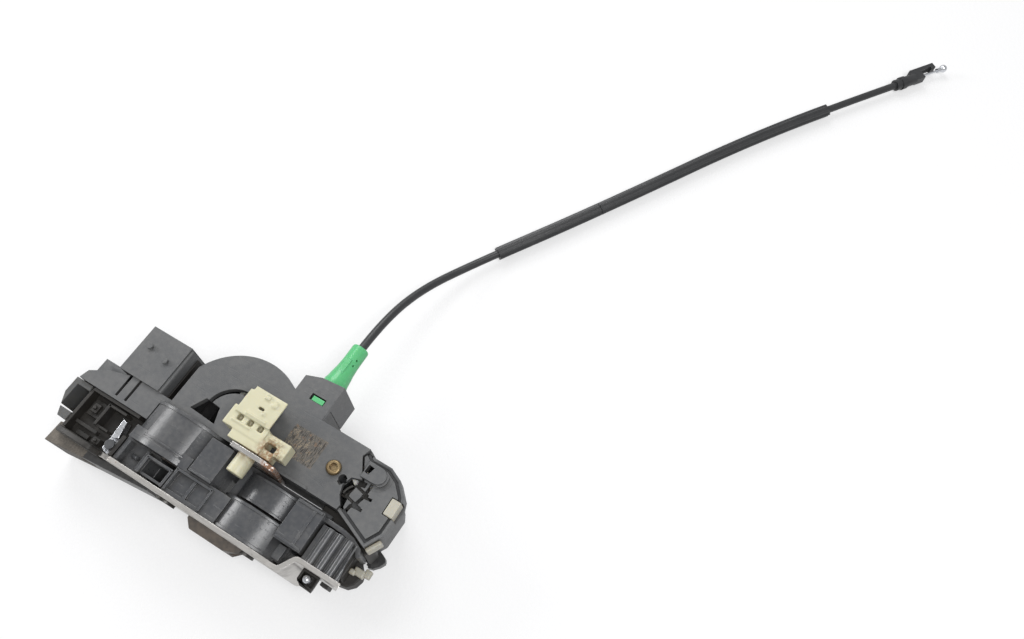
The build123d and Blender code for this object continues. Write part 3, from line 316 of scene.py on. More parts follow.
    def set(self, **values: object) -> bpy.types.Material:
        """Feed the surface's sockets.

        Args:
            **values: Socket names with underscores for spaces.

        Returns:
            The finished material.
        """
        for name, value in values.items():
            self.feed(self.surface.inputs[name.replace("_", " ")], value)
        return self.material


class Grain(Enum):
    """Texture that a mould leaves on plastic."""

    SATIN = 0.03
    SPARKED = 0.09


@dataclass(frozen=True)
class Stain:
    """Soft patch of dirt or rust at one place, in millimetres."""

    centre: Point
    radius: float
    soft: float = 4.0
    colour: Colour = (0.16, 0.09, 0.045)
    strength: float = 0.7


@dataclass(frozen=True)
class Residue:
    """Block of streaked glue and dirt, in millimetres."""

    centre: Point
    half: Point
    pale: Colour = (0.27, 0.22, 0.155)
    dark: Colour = (0.022, 0.016, 0.012)
    ground: Colour = (0.1, 0.085, 0.066)
    rust: Colour = (0.2, 0.1, 0.045)
    soft: float = 0.8
    streak_scale: float = 1500
    streak_run: Point = (1.0, 0.2, 1.0)
    fleck_scale: float = 2400
    fleck_run: Point = (1.0, 0.6, 1.0)
    wide_scale: float = 170
    rust_scale: float = 420


@dataclass(frozen=True)
class Plastic:
    """Moulded plastic with grain, dust, rubbed edges and corner darkening that is dirt and painted shade."""

    name: str
    colour: Colour
    roughness: float = 0.42
    grain: Grain = Grain.SATIN
    dust: float = 0.25
    dust_colour: Colour = (0.2, 0.195, 0.185)
    # Colour and depth of the corner darkening, which is dirt and painted shade.
    dirt_and_shade: Colour = (0.03, 0.026, 0.021)
    dirt_and_shade_depth: float = 0.7
    edge: float = 0.35
    edge_colour: Colour = (0.3, 0.3, 0.3)
    stains: tuple[Stain, ...] = ()
    residue: Residue | None = None
    broad_scale: float = 55
    fine_scale: float = 420
    scratch_scale: float = 900
    scratch_run: Point = (0.06, 1.0, 0.6)
    grain_scale: float = 2600
    edge_radius: float = 0.3
    rim_width: float = 0.5

    def make(self) -> bpy.types.Material:
        """Build the material.

        Returns:
            The material.
        """
        shader = Shader(self.name)
        broad = shader.noise(self.broad_scale, 5)
        fine = shader.noise(self.fine_scale, 4)
        scratch = shader.noise(self.scratch_scale, 2, self.scratch_run).step(0.64, 0.74)
        corner = shader.corners(5).step(0.25, 0.85)
        rim = shader.worn_edges(self.rim_width) * fine.step(0.35, 0.65)
        dusty = (broad * 0.5 + fine * 0.5).step(0.35, 0.75) * self.dust
        base = shader.blend(dusty, self.colour, self.dust_colour)
        # Darker in corners and under neighbours: dirt and painted shade.
        base = shader.blend(corner * self.dirt_and_shade_depth * (0.5 + broad * 0.8).least(1.0), base, self.dirt_and_shade)
        base = shader.blend(rim * self.edge, base, self.edge_colour)
        soiled = corner * 0.5
        for stain in self.stains:
            mask = shader.spot(stain.centre, stain.radius, stain.soft) * fine.step(0.38, 0.62)
            base = shader.blend(mask * stain.strength, base, stain.colour)
            soiled = soiled.most(mask)
        if self.residue:
            base, soiled = self.streaks(shader, base, soiled)
        rough = self.roughness + (broad - 0.5) * 0.3 + soiled * 0.25 - scratch * 0.08
        height = shader.noise(self.grain_scale, 2) * self.grain.value + scratch * -0.05
        normal = shader.bump(height, 1.0, shader.rounded(self.edge_radius))
        rough = rough.most(0.12).least(0.95)
        return shader.set(Base_Color=base, Roughness=rough, Normal=normal, IOR=1.48)

    def streaks(
        self, shader: Shader, base: bpy.types.NodeSocket, soiled: Value
    ) -> tuple[bpy.types.NodeSocket, Value]:
        """Lay the residue over the colour.

        Args:
            shader: Shader of the material.
            base: Colour under the residue.
            soiled: Share of each place that is soiled.

        Returns:
            Colour and share with the residue.
        """
        glue = self.residue
        block = shader.patch(glue.centre, glue.half, glue.soft)
        streak = shader.noise(glue.streak_scale, 3, glue.streak_run)
        fleck = shader.noise(glue.fleck_scale, 2, glue.fleck_run)
        wide = shader.noise(glue.wide_scale, 3).step(0.42, 0.58)
        rusty = shader.noise(glue.rust_scale, 3).step(0.58, 0.66)
        pale = (streak * 0.45 + fleck * 0.55).step(0.5, 0.56) * block * (0.3 + wide * 0.7)
        dark = (1 - streak.step(0.4, 0.47)) * block * (1 - wide * 0.3)
        base = shader.blend(block * 0.45, base, glue.ground)
        base = shader.blend(block * rusty * 0.45, base, glue.rust)
        base = shader.blend(pale * 0.92, base, glue.pale)
        base = shader.blend(dark * 0.8, base, glue.dark)
        return base, soiled.most(block * 0.8)


@dataclass(frozen=True)
class Metal:
    """Bare or plated metal with brushing, tarnish and rust."""

    name: str
    colour: Colour
    roughness: float = 0.32
    tarnish: Colour = (0.22, 0.21, 0.2)
    tarnish_share: float = 0.35
    rust: float = 0.15
    rust_colour: Colour = (0.2, 0.085, 0.035)
    brushing: Point = (0.08, 1.0, 1.0)
    stains: tuple[Stain, ...] = ()
    broad_scale: float = 70
    fine_scale: float = 600
    brush_scale: float = 1500
    # Colour of the corner darkening, which is dirt and painted shade.
    dirt_and_shade: Colour = (0.05, 0.045, 0.04)
    edge_radius: float = 0.22

    def make(self) -> bpy.types.Material:
        """Build the material.

        Returns:
            The material.
        """
        shader = Shader(self.name)
        broad = shader.noise(self.broad_scale, 6)
        fine = shader.noise(self.fine_scale, 4)
        lines = shader.noise(self.brush_scale, 2, self.brushing)
        corner = shader.corners(4).step(0.3, 0.9)
        base = shader.blend(broad.step(0.42, 0.66) * self.tarnish_share, self.colour, self.tarnish)
        rusty = (fine * 0.5 + broad * 0.5 + corner * 0.12).step(0.6, 0.68) * self.rust
        for stain in self.stains:
            mask = shader.spot(stain.centre, stain.radius, stain.soft) * fine.step(0.34, 0.56)
            rusty = rusty.most(mask * stain.strength)
        base = shader.blend(rusty, base, self.rust_colour)
        # Darker in corners: dirt and painted shade.
        base = shader.blend(corner * 0.45, base, self.dirt_and_shade)
        rough = self.roughness + (lines - 0.5) * 0.22 + broad.step(0.45, 0.7) * 0.16 + rusty * 0.4
        height = lines * 0.05 + rusty * fine * 0.3
        normal = shader.bump(height, 0.35, shader.rounded(self.edge_radius))
        return shader.set(
            Base_Color=base,
            Metallic=(1 - rusty * 0.9).most(0.05),
            Roughness=rough.most(0.1).least(0.95),
            Normal=normal,
        )


@dataclass(frozen=True)
class Rubber:
    """Soft rubber or extruded sheath with a dry, dusty skin."""

    name: str
    colour: Colour
    roughness: float = 0.62
    dust: float = 0.4
    dust_colour: Colour = (0.23, 0.2, 0.165)
    depth: float = 0.12
    broad_scale: float = 90
    fine_scale: float = 1100
    # Colour of the corner darkening, which is dirt and painted shade.
    dirt_and_shade: Colour = (0.02, 0.018, 0.016)
    edge_radius: float = 0.25

    def make(self) -> bpy.types.Material:
        """Build the material.

        Returns:
            The material.
        """
        shader = Shader(self.name)
        broad = shader.noise(self.broad_scale, 5)
        fine = shader.noise(self.fine_scale, 3)
        corner = shader.corners(3).step(0.3, 0.9)
        dusty = (broad * 0.6 + fine * 0.4).step(0.4, 0.7) * self.dust
        base = shader.blend(dusty, self.colour, self.dust_colour)
        # Darker in corners: dirt and painted shade.
        base = shader.blend(corner * 0.4, base, self.dirt_and_shade)
        rough = self.roughness + (fine - 0.5) * 0.25
        height = fine * 0.6 + broad * 0.4
        normal = shader.bump(height, self.depth, shader.rounded(self.edge_radius))
        return shader.set(Base_Color=base, Roughness=rough.most(0.2).least(0.95), Normal=normal)


@dataclass(frozen=True)
class Nylon:
    """Unpigmented or bright nylon that light enters a little."""

    name: str
    colour: Colour
    depth_of_light: float = 0.6
    roughness: float = 0.4
    # Share and colour of the corner darkening, which is grime and painted shade.
    grime_and_shade: float = 0.5
    grime_and_shade_colour: Colour = (0.24, 0.18, 0.1)
    stains: tuple[Stain, ...] = ()
    broad_scale: float = 120
    fine_scale: float = 800
    shade: float = 0.8
    edge_radius: float = 0.3

    def make(self) -> bpy.types.Material:
        """Build the material.

        Returns:
            The material.
        """
        shader = Shader(self.name)
        broad = shader.noise(self.broad_scale, 5)
        fine = shader.noise(self.fine_scale, 4)
        corner = shader.corners(3).step(0.2, 0.8)
        shaded = tuple(self.shade * part for part in self.colour)
        base = shader.blend(broad.step(0.4, 0.7) * 0.25, self.colour, shaded)
        # Darker in corners: grime and painted shade.
        base = shader.blend(corner * self.grime_and_shade * (0.4 + fine), base, self.grime_and_shade_colour)
        for stain in self.stains:
            mask = shader.spot(stain.centre, stain.radius, stain.soft) * fine.step(0.32, 0.6)
            base = shader.blend(mask * stain.strength, base, stain.colour)
        rough = self.roughness + (broad - 0.5) * 0.25
        normal = shader.bump(fine, 0.04, shader.rounded(self.edge_radius))
        return shader.set(
            Base_Color=base,
            Roughness=rough.most(0.15).least(0.9),
            Normal=normal,
            Subsurface_Weight=0.25,
            Subsurface_Scale=MM * self.depth_of_light,
            Subsurface_Radius=(1.0, 0.8, 0.5),
        )


CLIP_RUST = (
    Stain((23.0, 1.0, 55.0), 3.0, 6.0, (0.27, 0.13, 0.05), 0.85),
    Stain((13.0, -3.5, 50.0), 4.0, 4.0, (0.24, 0.12, 0.055), 0.6),
    Stain((20.0, 11.5, 56.0), 2.0, 3.0, (0.3, 0.17, 0.08), 0.6),
)
LEVER_RUST = (
    Stain((27.6, -4.6, 54.0), 4.0, 4.0, (0.2, 0.075, 0.03), 0.97),
    Stain((25.0, -5.0, 45.0), 5.0, 5.0, (0.2, 0.075, 0.03), 0.95),
    Stain((28.0, -5.0, 38.0), 6.0, 5.0, (0.16, 0.07, 0.035), 0.9),
)
PAN_RUST = (
    Stain((1.0, -45.0, 24.0), 5.0, 6.0, (0.2, 0.085, 0.045), 0.95),
    Stain((28.0, -45.0, 12.0), 9.0, 8.0, (0.1, 0.075, 0.06), 0.7),
)

FINISHES = {
    "zinc_steel": Metal("zinc_plated_plate", (0.7, 0.68, 0.65), 0.32, rust=0.5, tarnish_share=0.45),
    "hard_steel": Metal("hardened_steel", (0.3, 0.3, 0.31), 0.34, rust=0.2),
    "spring_steel": Metal("spring_wire", (0.4, 0.4, 0.41), 0.3, rust=0.1),
    "lever_steel": Metal("lever_sheet", (0.72, 0.7, 0.68), 0.24, rust=0.3, stains=LEVER_RUST),
    # Dark steel of the lock lever, also laid on the back plate and the pins as painted shade.
    "dark_steel_and_shade": Metal("dark_steel_and_pin_shade", (0.09, 0.088, 0.085), 0.4, rust=0.15, tarnish=(0.04, 0.038, 0.035)),
    "die_cast_zinc": Metal("die_cast_zinc", (0.8, 0.82, 0.86), 0.24, rust=0.05, tarnish_share=0.2),
    "yellow_zinc": Metal(
        "yellow_zinc", (0.42, 0.32, 0.18), 0.34, rust=0.35, tarnish=(0.16, 0.11, 0.06), tarnish_share=0.6
    ),
    "terminal_brass": Metal("tinned_brass", (0.72, 0.62, 0.38), 0.25, rust=0.0),
    "black_plastic": Plastic("black_moulding", (0.035, 0.035, 0.036), 0.36, Grain.SATIN, 0.2),
    # Darker, dustier copy of the black moulding, laid on the key end, the gap, the end filler, the edge
    # strip and the lug cap: grime and painted shade.
    "grime_and_shade_black": Plastic(
        "grime_and_shade_black", (0.016, 0.015, 0.014), 0.5, Grain.SATIN, 0.45, (0.05, 0.043, 0.035), edge=0.12
    ),
    "worn_pan": Plastic(
        "worn_pan", (0.07, 0.064, 0.058), 0.45, Grain.SATIN, 0.6, (0.2, 0.16, 0.125), stains=PAN_RUST
    ),
    "housing_plastic": Plastic("housing_nylon", (0.066, 0.069, 0.075), 0.27, Grain.SATIN, 0.35),
    "case_plastic": Plastic(
        "case_moulding",
        (0.098, 0.101, 0.105),
        0.44,
        Grain.SPARKED,
        0.35,
        residue=Residue((29.8, 13.4, 43.0), (9.3, 7.2, 3.0)),
    ),
    "light_grey_plastic": Nylon("pale_bearing", (0.1, 0.1, 0.098), 1.0, 0.72, 0.8, (0.05, 0.045, 0.04)),
    "natural_nylon": Nylon("cream_nylon", (0.6, 0.575, 0.41), 0.8, 0.38, 0.75, (0.2, 0.16, 0.09), CLIP_RUST),
    "tab_nylon": Nylon("tab_nylon", (0.46, 0.44, 0.37), 0.8, 0.4, 0.6),
    "gear_nylon": Nylon("white_gear_nylon", (0.8, 0.8, 0.77)),
    "green_plastic": Nylon("green_fitting", (0.12, 0.5, 0.21), 0.6, 0.24, 0.06, (0.06, 0.3, 0.12)),
    "seal_rubber": Rubber("flap_rubber", (0.075, 0.066, 0.055), 0.6, 0.6),
    "cable_black": Rubber("sheath_black", (0.03, 0.031, 0.033), 0.36, 0.18, (0.09, 0.09, 0.09), 0.04),
}


def show(name: str, data: bpy.types.ID) -> bpy.types.Object:
    """Put a mesh, curve, lamp or camera into the scene.

    Args:
        name: Name of the object.
        data: What the object holds.

    Returns:
        The object.
    """
    made = bpy.data.objects.new(name, data)
    bpy.context.scene.collection.objects.link(made)
    return made


def flatten(carrier: bpy.types.Object, name: str) -> bpy.types.Object:
    """Turn an object with live modifiers into a plain mesh object.

    Args:
        carrier: Object with modifiers, which is removed.
        name: Name of the plain object.

    Returns:
        The plain object.
    """
    carrier.update_tag()
    graph = bpy.context.evaluated_depsgraph_get()
    mesh = bpy.data.meshes.new_from_object(carrier.evaluated_get(graph), depsgraph=graph)
    bpy.data.objects.remove(carrier)
    mesh.name = name
    return show(name, mesh)


class Growth:
    """Geometry nodes with named inputs, which end in one painted mesh."""

    def __init__(self, name: str, inputs: dict[str, str]) -> None:
        """Make the tree with its inputs.

        Args:
            name: Name of the tree.
            inputs: Kind of each named input, such as Float or Int.
        """
        self.tree = bpy.data.node_groups.new(name, "GeometryNodeTree")
        for title, kind in {"Geometry": "Geometry", **inputs, "Finish": "Material"}.items():
            self.tree.interface.new_socket(title, in_out="INPUT", socket_type="NodeSocket" + kind)
        self.tree.interface.new_socket("Geometry", in_out="OUTPUT", socket_type="NodeSocketGeometry")
        self.given = self.node("NodeGroupInput").outputs

    def node(self, kind: str, inputs: dict[object, object] | None = None, mode: str = "") -> bpy.types.Node:
        """Add a node.

        Args:
            kind: Node type.
            inputs: Link or number of each socket.
            mode: Mode of the node, where it has one, which is set first.

        Returns:
            The new node.
        """
        made = self.tree.nodes.new(kind)
        if mode:
            made.mode = mode
        for key, value in (inputs or {}).items():
            if isinstance(value, bpy.types.NodeSocket):
                self.tree.links.new(value, made.inputs[key])
            else:
                made.inputs[key].default_value = value
        return made

    def close(self, shape: bpy.types.NodeSocket) -> None:
        """Turn the shape into real faces and paint them.

        Args:
            shape: Geometry that the tree has made.
        """
        real = self.node("GeometryNodeRealizeInstances", {0: shape})
        paint = {"Geometry": real.outputs[0], "Material": self.given["Finish"]}
        self.node("NodeGroupOutput", {0: self.node("GeometryNodeSetMaterial", paint).outputs[0]})

    def grow(self, carrier: bpy.types.Object, wanted: dict[str, object], name: str) -> bpy.types.Object:
        """Run the tree on an object and keep its result as a plain mesh.

        Args:
            carrier: Object that the tree starts from.
            wanted: Value of each named input.
            name: Name of the result.

        Returns:
            The plain object.
        """
        modifier = carrier.modifiers.new("tree", "NODES")
        modifier.node_group = self.tree
        for item in self.tree.interface.items_tree:
            if item.item_type == "SOCKET" and item.in_out == "INPUT" and item.name in wanted:
                modifier[item.identifier] = wanted[item.name]
        return flatten(carrier, name)


class Along(Enum):
    """Direction in which a flat outline is drawn out into a solid."""

    X = (1, 2, 0)
    Y = (0, 2, 1)
    Z = (0, 1, 2)


class Form:
    """Mesh under construction, in millimetres, made of plain solids."""

    def __init__(self) -> None:
        """Start an empty mesh."""
        self.bm = bmesh.new()

    def _ring(self, points: list[Point]) -> list[bmesh.types.BMVert]:
        """Add a ring of vertices.

        Args:
            points: Places of the vertices.

        Returns:
            The vertices.
        """
        return [self.bm.verts.new(point) for point in points]

    def _wall(self, first: list[bmesh.types.BMVert], second: list[bmesh.types.BMVert]) -> None:
        """Join two closed rings of equal length with faces.

        Args:
            first: Vertices of one ring.
            second: Vertices of the other ring.
        """
        count = len(first)
        for index in range(count):
            after = (index + 1) % count
            self.bm.faces.new((first[index], first[after], second[after], second[index]))

    def _tube(self, rings: list[list[bmesh.types.BMVert]]) -> "Form":
        """Join rings one after another and close both ends.

        Args:
            rings: Rings of vertices, in order.

        Returns:
            This form.
        """
        for before, after in zip(rings, rings[1:]):
            self._wall(before, after)
        self.bm.faces.new(rings[0])
        self.bm.faces.new(rings[-1])
        return self

    def prism(
        self, outline: list[Flat], low: float, high: float, along: Along = Along.Z, inset: float = 0.0
    ) -> "Form":
        """Draw a flat outline out into a solid.

        Args:
            outline: Corners of the outline, in order.
            low: Start of the solid along its direction.
            high: End of the solid along its direction.
            along: Direction of the solid.
            inset: Draft that pulls the far end's corners towards their middle.

        Returns:
            This form.
        """
        middle = [sum(corner[axis] for corner in outline) / len(outline) for axis in (0, 1)]
        rings = []
        for level, pull in ((low, 0.0), (high, inset)):
            ring = []
            for corner in outline:
                reach = math.dist(corner, middle) or 1.0
                share = 1 - pull / reach
                flat = [middle[axis] + (corner[axis] - middle[axis]) * share for axis in (0, 1)]
                point = [0.0, 0.0, 0.0]
                point[along.value[0]], point[along.value[1]], point[along.value[2]] = *flat, level
                ring.append(tuple(point))
            rings.append(self._ring(ring))
        return self._tube(rings)

    def slab(self, low: Point, high: Point, inset: float = 0.0) -> "Form":
        """Add a box between two corners.

        Args:
            low: Lowest corner.
            high: Highest corner.
            inset: Draft of the top.

        Returns:
            This form.
        """
        outline = [(low[0], low[1]), (high[0], low[1]), (high[0], high[1]), (low[0], high[1])]
        return self.prism(outline, low[2], high[2], Along.Z, inset)

    def lathe(
        self, profile: list[Flat], centre: Point, along: Along = Along.Z, steps: int = 48
    ) -> "Form":
        """Turn a profile about an axis.

        Args:
            profile: Pairs of a distance along the axis and a radius.
            centre: Point on the axis from which the distances count.
            along: Direction of the axis.
            steps: Faces round the axis.

        Returns:
            This form.
        """
        first, second, third = along.value
        rings = []
        for distance, radius in profile:
            ring = []
            for step in range(steps):
                angle = 2 * math.pi * step / steps
                point = list(centre)
                point[first] += radius * math.cos(angle)
                point[second] += radius * math.sin(angle)
                point[third] += distance
                ring.append(tuple(point))
            rings.append(self._ring(ring))
        return self._tube(rings)

    def bar(self, start: Point, end: Point, radius: float, steps: int = 20) -> "Form":
        """Add a round bar with softened ends between two points.

        Args:
            start: Middle of one end.
            end: Middle of the other end.
            radius: Radius of the bar.
            steps: Faces round the bar.

        Returns:
            This form.
        """
        line = Vector(end) - Vector(start)
        turn = line.to_track_quat("Z", "Y").to_matrix().to_4x4()
        turn.translation = Vector(start)
        soft = min(0.3, radius * 0.3)
        rings = []
        far = line.length
        levels = ((0, radius - soft), (soft, radius), (far - soft, radius), (far, radius - soft))
        for distance, size in levels:
            ring = []
            for step in range(steps):
                angle = 2 * math.pi * step / steps
                ring.append(turn @ Vector((size * math.cos(angle), size * math.sin(angle), distance)))
            rings.append(self._ring(ring))
        return self._tube(rings)

    def add_node(self, name: str) -> "Form":
        """Add a merged copy of one solid of the frame.

        Args:
            name: Node of the frame.

        Returns:
            This form.
        """
        copy = frame["nodes"][name].data.copy()
        copy.transform(Matrix.Scale(1 / MM, 4))
        self.bm.from_mesh(copy)
        bpy.data.meshes.remove(copy)
        bmesh.ops.remove_doubles(self.bm, verts=self.bm.verts, dist=0.002)
        bmesh.ops.dissolve_limit(
            self.bm, angle_limit=math.radians(0.4), verts=self.bm.verts, edges=self.bm.edges
        )
        return self

    def trim(self, point: Point, beyond: Point) -> "Form":
        """Cut away what lies beyond a plane and close the cut.

        Args:
            point: Point on the plane.
            beyond: Direction that points to what is cut away.

        Returns:
            This form.
        """
        parts = [*self.bm.verts, *self.bm.edges, *self.bm.faces]
        cut = bmesh.ops.bisect_plane(self.bm, geom=parts, plane_co=point, plane_no=beyond, clear_outer=True)
        rim = [item for item in cut["geom_cut"] if isinstance(item, bmesh.types.BMEdge)]
        bmesh.ops.triangle_fill(self.bm, use_beauty=True, use_dissolve=True, edges=rim)
        return self

    def _loose(self, name: str) -> bpy.types.Object:
        """Object that holds this form as it is.

        Args:
            name: Name of the object.

        Returns:
            The object, in millimetres.
        """
        bmesh.ops.recalc_face_normals(self.bm, faces=self.bm.faces)
        mesh = bpy.data.meshes.new(name)
        self.bm.to_mesh(mesh)
        self.bm.free()
        return show(name, mesh)

    def _take(self, source: bpy.types.Object) -> "Form":
        """Go on with the mesh of an object, which is removed.

        Args:
            source: Object that holds the new state of this form.

        Returns:
            This form.
        """
        self.bm = bmesh.new()
        self.bm.from_mesh(source.data)
        bpy.data.objects.remove(source)
        return self

    def carve(self, cutter: "Form") -> "Form":
        """Take another form out of this one.

        Args:
            cutter: Form that is taken out.

        Returns:
            This form.
        """
        body, tool = self._loose("body"), cutter._loose("tool")
        work = body.modifiers.new("carve", "BOOLEAN")
        work.operation = "DIFFERENCE"
        work.solver = "EXACT"
        work.object = tool
        self._take(flatten(body, "carved"))
        bpy.data.objects.remove(tool)
        return self

    def soften(self, width: float = 0.3, segments: int = 2, angle: float = 35.0) -> "Form":
        """Round the sharp outer edges and leave the inner corners alone.

        Args:
            width: Width of the rounding.
            segments: Faces across the rounding.
            angle: Smallest angle of an edge that is rounded.

        Returns:
            This form.
        """
        bmesh.ops.recalc_face_normals(self.bm, faces=self.bm.faces)
        sharp = [
            edge
            for edge in self.bm.edges
            if edge.is_convex and edge.calc_face_angle(0) > math.radians(angle)
        ]
        bmesh.ops.bevel(
            self.bm,
            geom=sharp,
            offset=width,
            segments=segments,
            profile=0.5,
            affect="EDGES",
            clamp_overlap=True,
        )
        return self

    def melt(self, grid: float, passes: int) -> "Form":
        """Join what overlaps into one skin and turn every edge round.

        Args:
            grid: Size of the skin's faces.
            passes: Times that the skin is smoothed.

        Returns:
            This form.
        """
        body = self._loose("body")
        skin = body.modifiers.new("skin", "REMESH")
        skin.mode = "VOXEL"
        skin.voxel_size = grid
        ease = body.modifiers.new("ease", "SMOOTH")
        ease.factor = 0.5
        ease.iterations = passes
        return self._take(flatten(body, "melted"))

    def piece(self, name: str, smooth: float = 40.0) -> bpy.types.Object:
        """Close the form into an object of the scene.

        Args:
            name: Name of the object.
            smooth: Largest angle of an edge that is shaded smooth.

        Returns:
            The object, in metres.
        """
        bmesh.ops.remove_doubles(self.bm, verts=self.bm.verts, dist=0.001)
        bmesh.ops.recalc_face_normals(self.bm, faces=self.bm.faces)
        bmesh.ops.scale(self.bm, vec=(MM, MM, MM), verts=self.bm.verts)
        mesh = bpy.data.meshes.new(name)
        self.bm.to_mesh(mesh)
        self.bm.free()
        mesh.polygons.foreach_set("use_smooth", [True] * len(mesh.polygons))
        mesh.set_sharp_from_angle(angle=math.radians(smooth))
        made = show(name, mesh)
        even = made.modifiers.new("even_normals", "WEIGHTED_NORMAL")
        even.keep_sharp = True
        return flatten(made, name)


class Assembly:
    """Group of pieces that are built and dressed together."""

    finishes: dict[str, bpy.types.Material] = {}
    bodies: dict[str, str] = {
        node: body
        for body, nodes in frame["record"]["behaviour"]["bodies"].items()
        for node in nodes
    }

    @classmethod
    def finish(cls, slot: str) -> bpy.types.Material:
        """Material of one finish, made when it is first used.

        Args:
            slot: Name of the finish.

        Returns:
            The material.
        """
        if slot not in cls.finishes:
            cls.finishes[slot] = FINISHES[slot].make()
        return cls.finishes[slot]

    def dress(self, node: str, slot: str) -> None:
        """Give a carried-over solid its material.

        Args:
            node: Node of the frame.
            slot: Material slot.
        """
        mesh = frame["nodes"][node].data
        mesh.materials.clear()
        mesh.materials.append(self.finish(slot))
        log.info("%s dressed as %s", node, slot)

    def settle(
        self,
        piece: bpy.types.Object,
        slot: str,
        body: str = "latch_frame",
        stands_for: tuple[str, ...] = (),
        look: str = "",
    ) -> bpy.types.Object:
        """Dress a new piece and let it ride on its body.

        Args:
            piece: New piece.
            slot: Material slot.
            body: Body of the frame that carries it.
            stands_for: Solids that it replaces.
            look: Finish, where it isn't the slot's own.

        Returns:
            The piece.
        """
        piece.data.materials.clear()
        piece.data.materials.append(self.finish(look or slot))
        if stands_for:
            body = self.bodies[stands_for[0]]
            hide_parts(*stands_for)
        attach(piece, body)
        log.info("%s rides on %s as %s", piece.name, body, slot)
        return piece

    def reface(
        self, node: str, slot: str, width: float = 0.3, segments: int = 2, look: str = ""
    ) -> bpy.types.Object:
        """Replace a solid by its own shape with rounded edges.

        Args:
            node: Node of the frame.
            slot: Material slot.
            width: Width of the rounding.
            segments: Faces across the rounding.
            look: Finish, where it isn't the slot's own.

        Returns:
            The new piece.
        """
        made = Form().add_node(node).soften(width, segments).piece(node + "_shell")
        return self.settle(made, slot, stands_for=(node,), look=look)


def arc_band(
    centre: Flat, inner: float, outer: float, first: float, last: float, steps: int = 24
) -> list[Flat]:
    """Outline of a band that follows part of a circle.

    Args:
        centre: Middle of the circle.
        inner: Inner radius.
        outer: Outer radius.
        first: Angle where the band starts, in degrees.
        last: Angle where it ends.
        steps: Faces along the band.

    Returns:
        Corners of the outline, in order.
    """
    x, y = centre
    turns = [math.radians(first + (last - first) * step / steps) for step in range(steps + 1)]
    far = [(x + outer * math.cos(turn), y + outer * math.sin(turn)) for turn in turns]
    near = [(x + inner * math.cos(turn), y + inner * math.sin(turn)) for turn in reversed(turns)]
    return far + near


@dataclass
class LatchEnd(Assembly):
    """Steel face plate with the claw, the pawl and their springs."""

    edge_width: float = 0.35
    plate_end: Point = (85.0, 0.0, 48.0)
    end_slope: Point = (1.0, 0.0, -0.25)
    pan_cuts: tuple[Block, ...] = (
        ((-2.3, -42.0, 28.0), (-1.0, 0.0, 0.454)),
        ((32.5, -42.0, 28.0), (1.0, 0.0, -0.37)),
        ((-2.3, -42.0, 28.0), (-1.0, -1.0, 0.454)),
        ((32.5, -42.0, 28.0), (1.0, -1.0, -0.37)),
        ((0.7, -44.6, 20.0), (-0.35, -1.0, 0.0)),
        ((27.5, -44.8, 20.0), (0.35, -1.0, 0.0)),
        ((12.0, -45.2, 5.0), (0.0, -0.8, -1.0)),
    )

    def plate(self) -> bpy.types.Object:
        """Face plate with its free end cut on the slant.

        Returns:
            The plate.
        """
        form = Form().add_node("frame_plate").trim(self.plate_end, self.end_slope)
        made = form.soften(self.edge_width, 3).piece("face_plate")
        return self.settle(made, "zinc_steel", stands_for=("frame_plate",))

    def pan(self) -> bpy.types.Object:
        """Round-edged pan round the striker's mouth.

        Returns:
            The pan.
        """
        form = Form().add_node("mouth_surround")
        for point, beyond in self.pan_cuts:
            form.trim(point, beyond)
        made = form.soften(0.9, 3).piece("mouth_pan", 60)
        return self.settle(made, "black_plastic", stands_for=("mouth_surround",), look="worn_pan")

    def build(self) -> None:
        """Round the plates' edges and dress what sits between them."""
        self.plate()
        self.pan()
        # The back plate and the pins take the dark steel look as painted shade in the dark gap by the face
        # plate.
        for node in ("back_plate", "claw_pin", "pawl_pin"):
            self.reface(node, "zinc_steel", 0.2, look="dark_steel_and_shade")
        for node in ("claw_core", "pawl"):
            self.reface(node, "hard_steel", 0.2)
        self.dress("claw_pads", "black_plastic")
        self.dress("claw_spring", "spring_steel")
        self.dress("pawl_spring", "spring_steel")


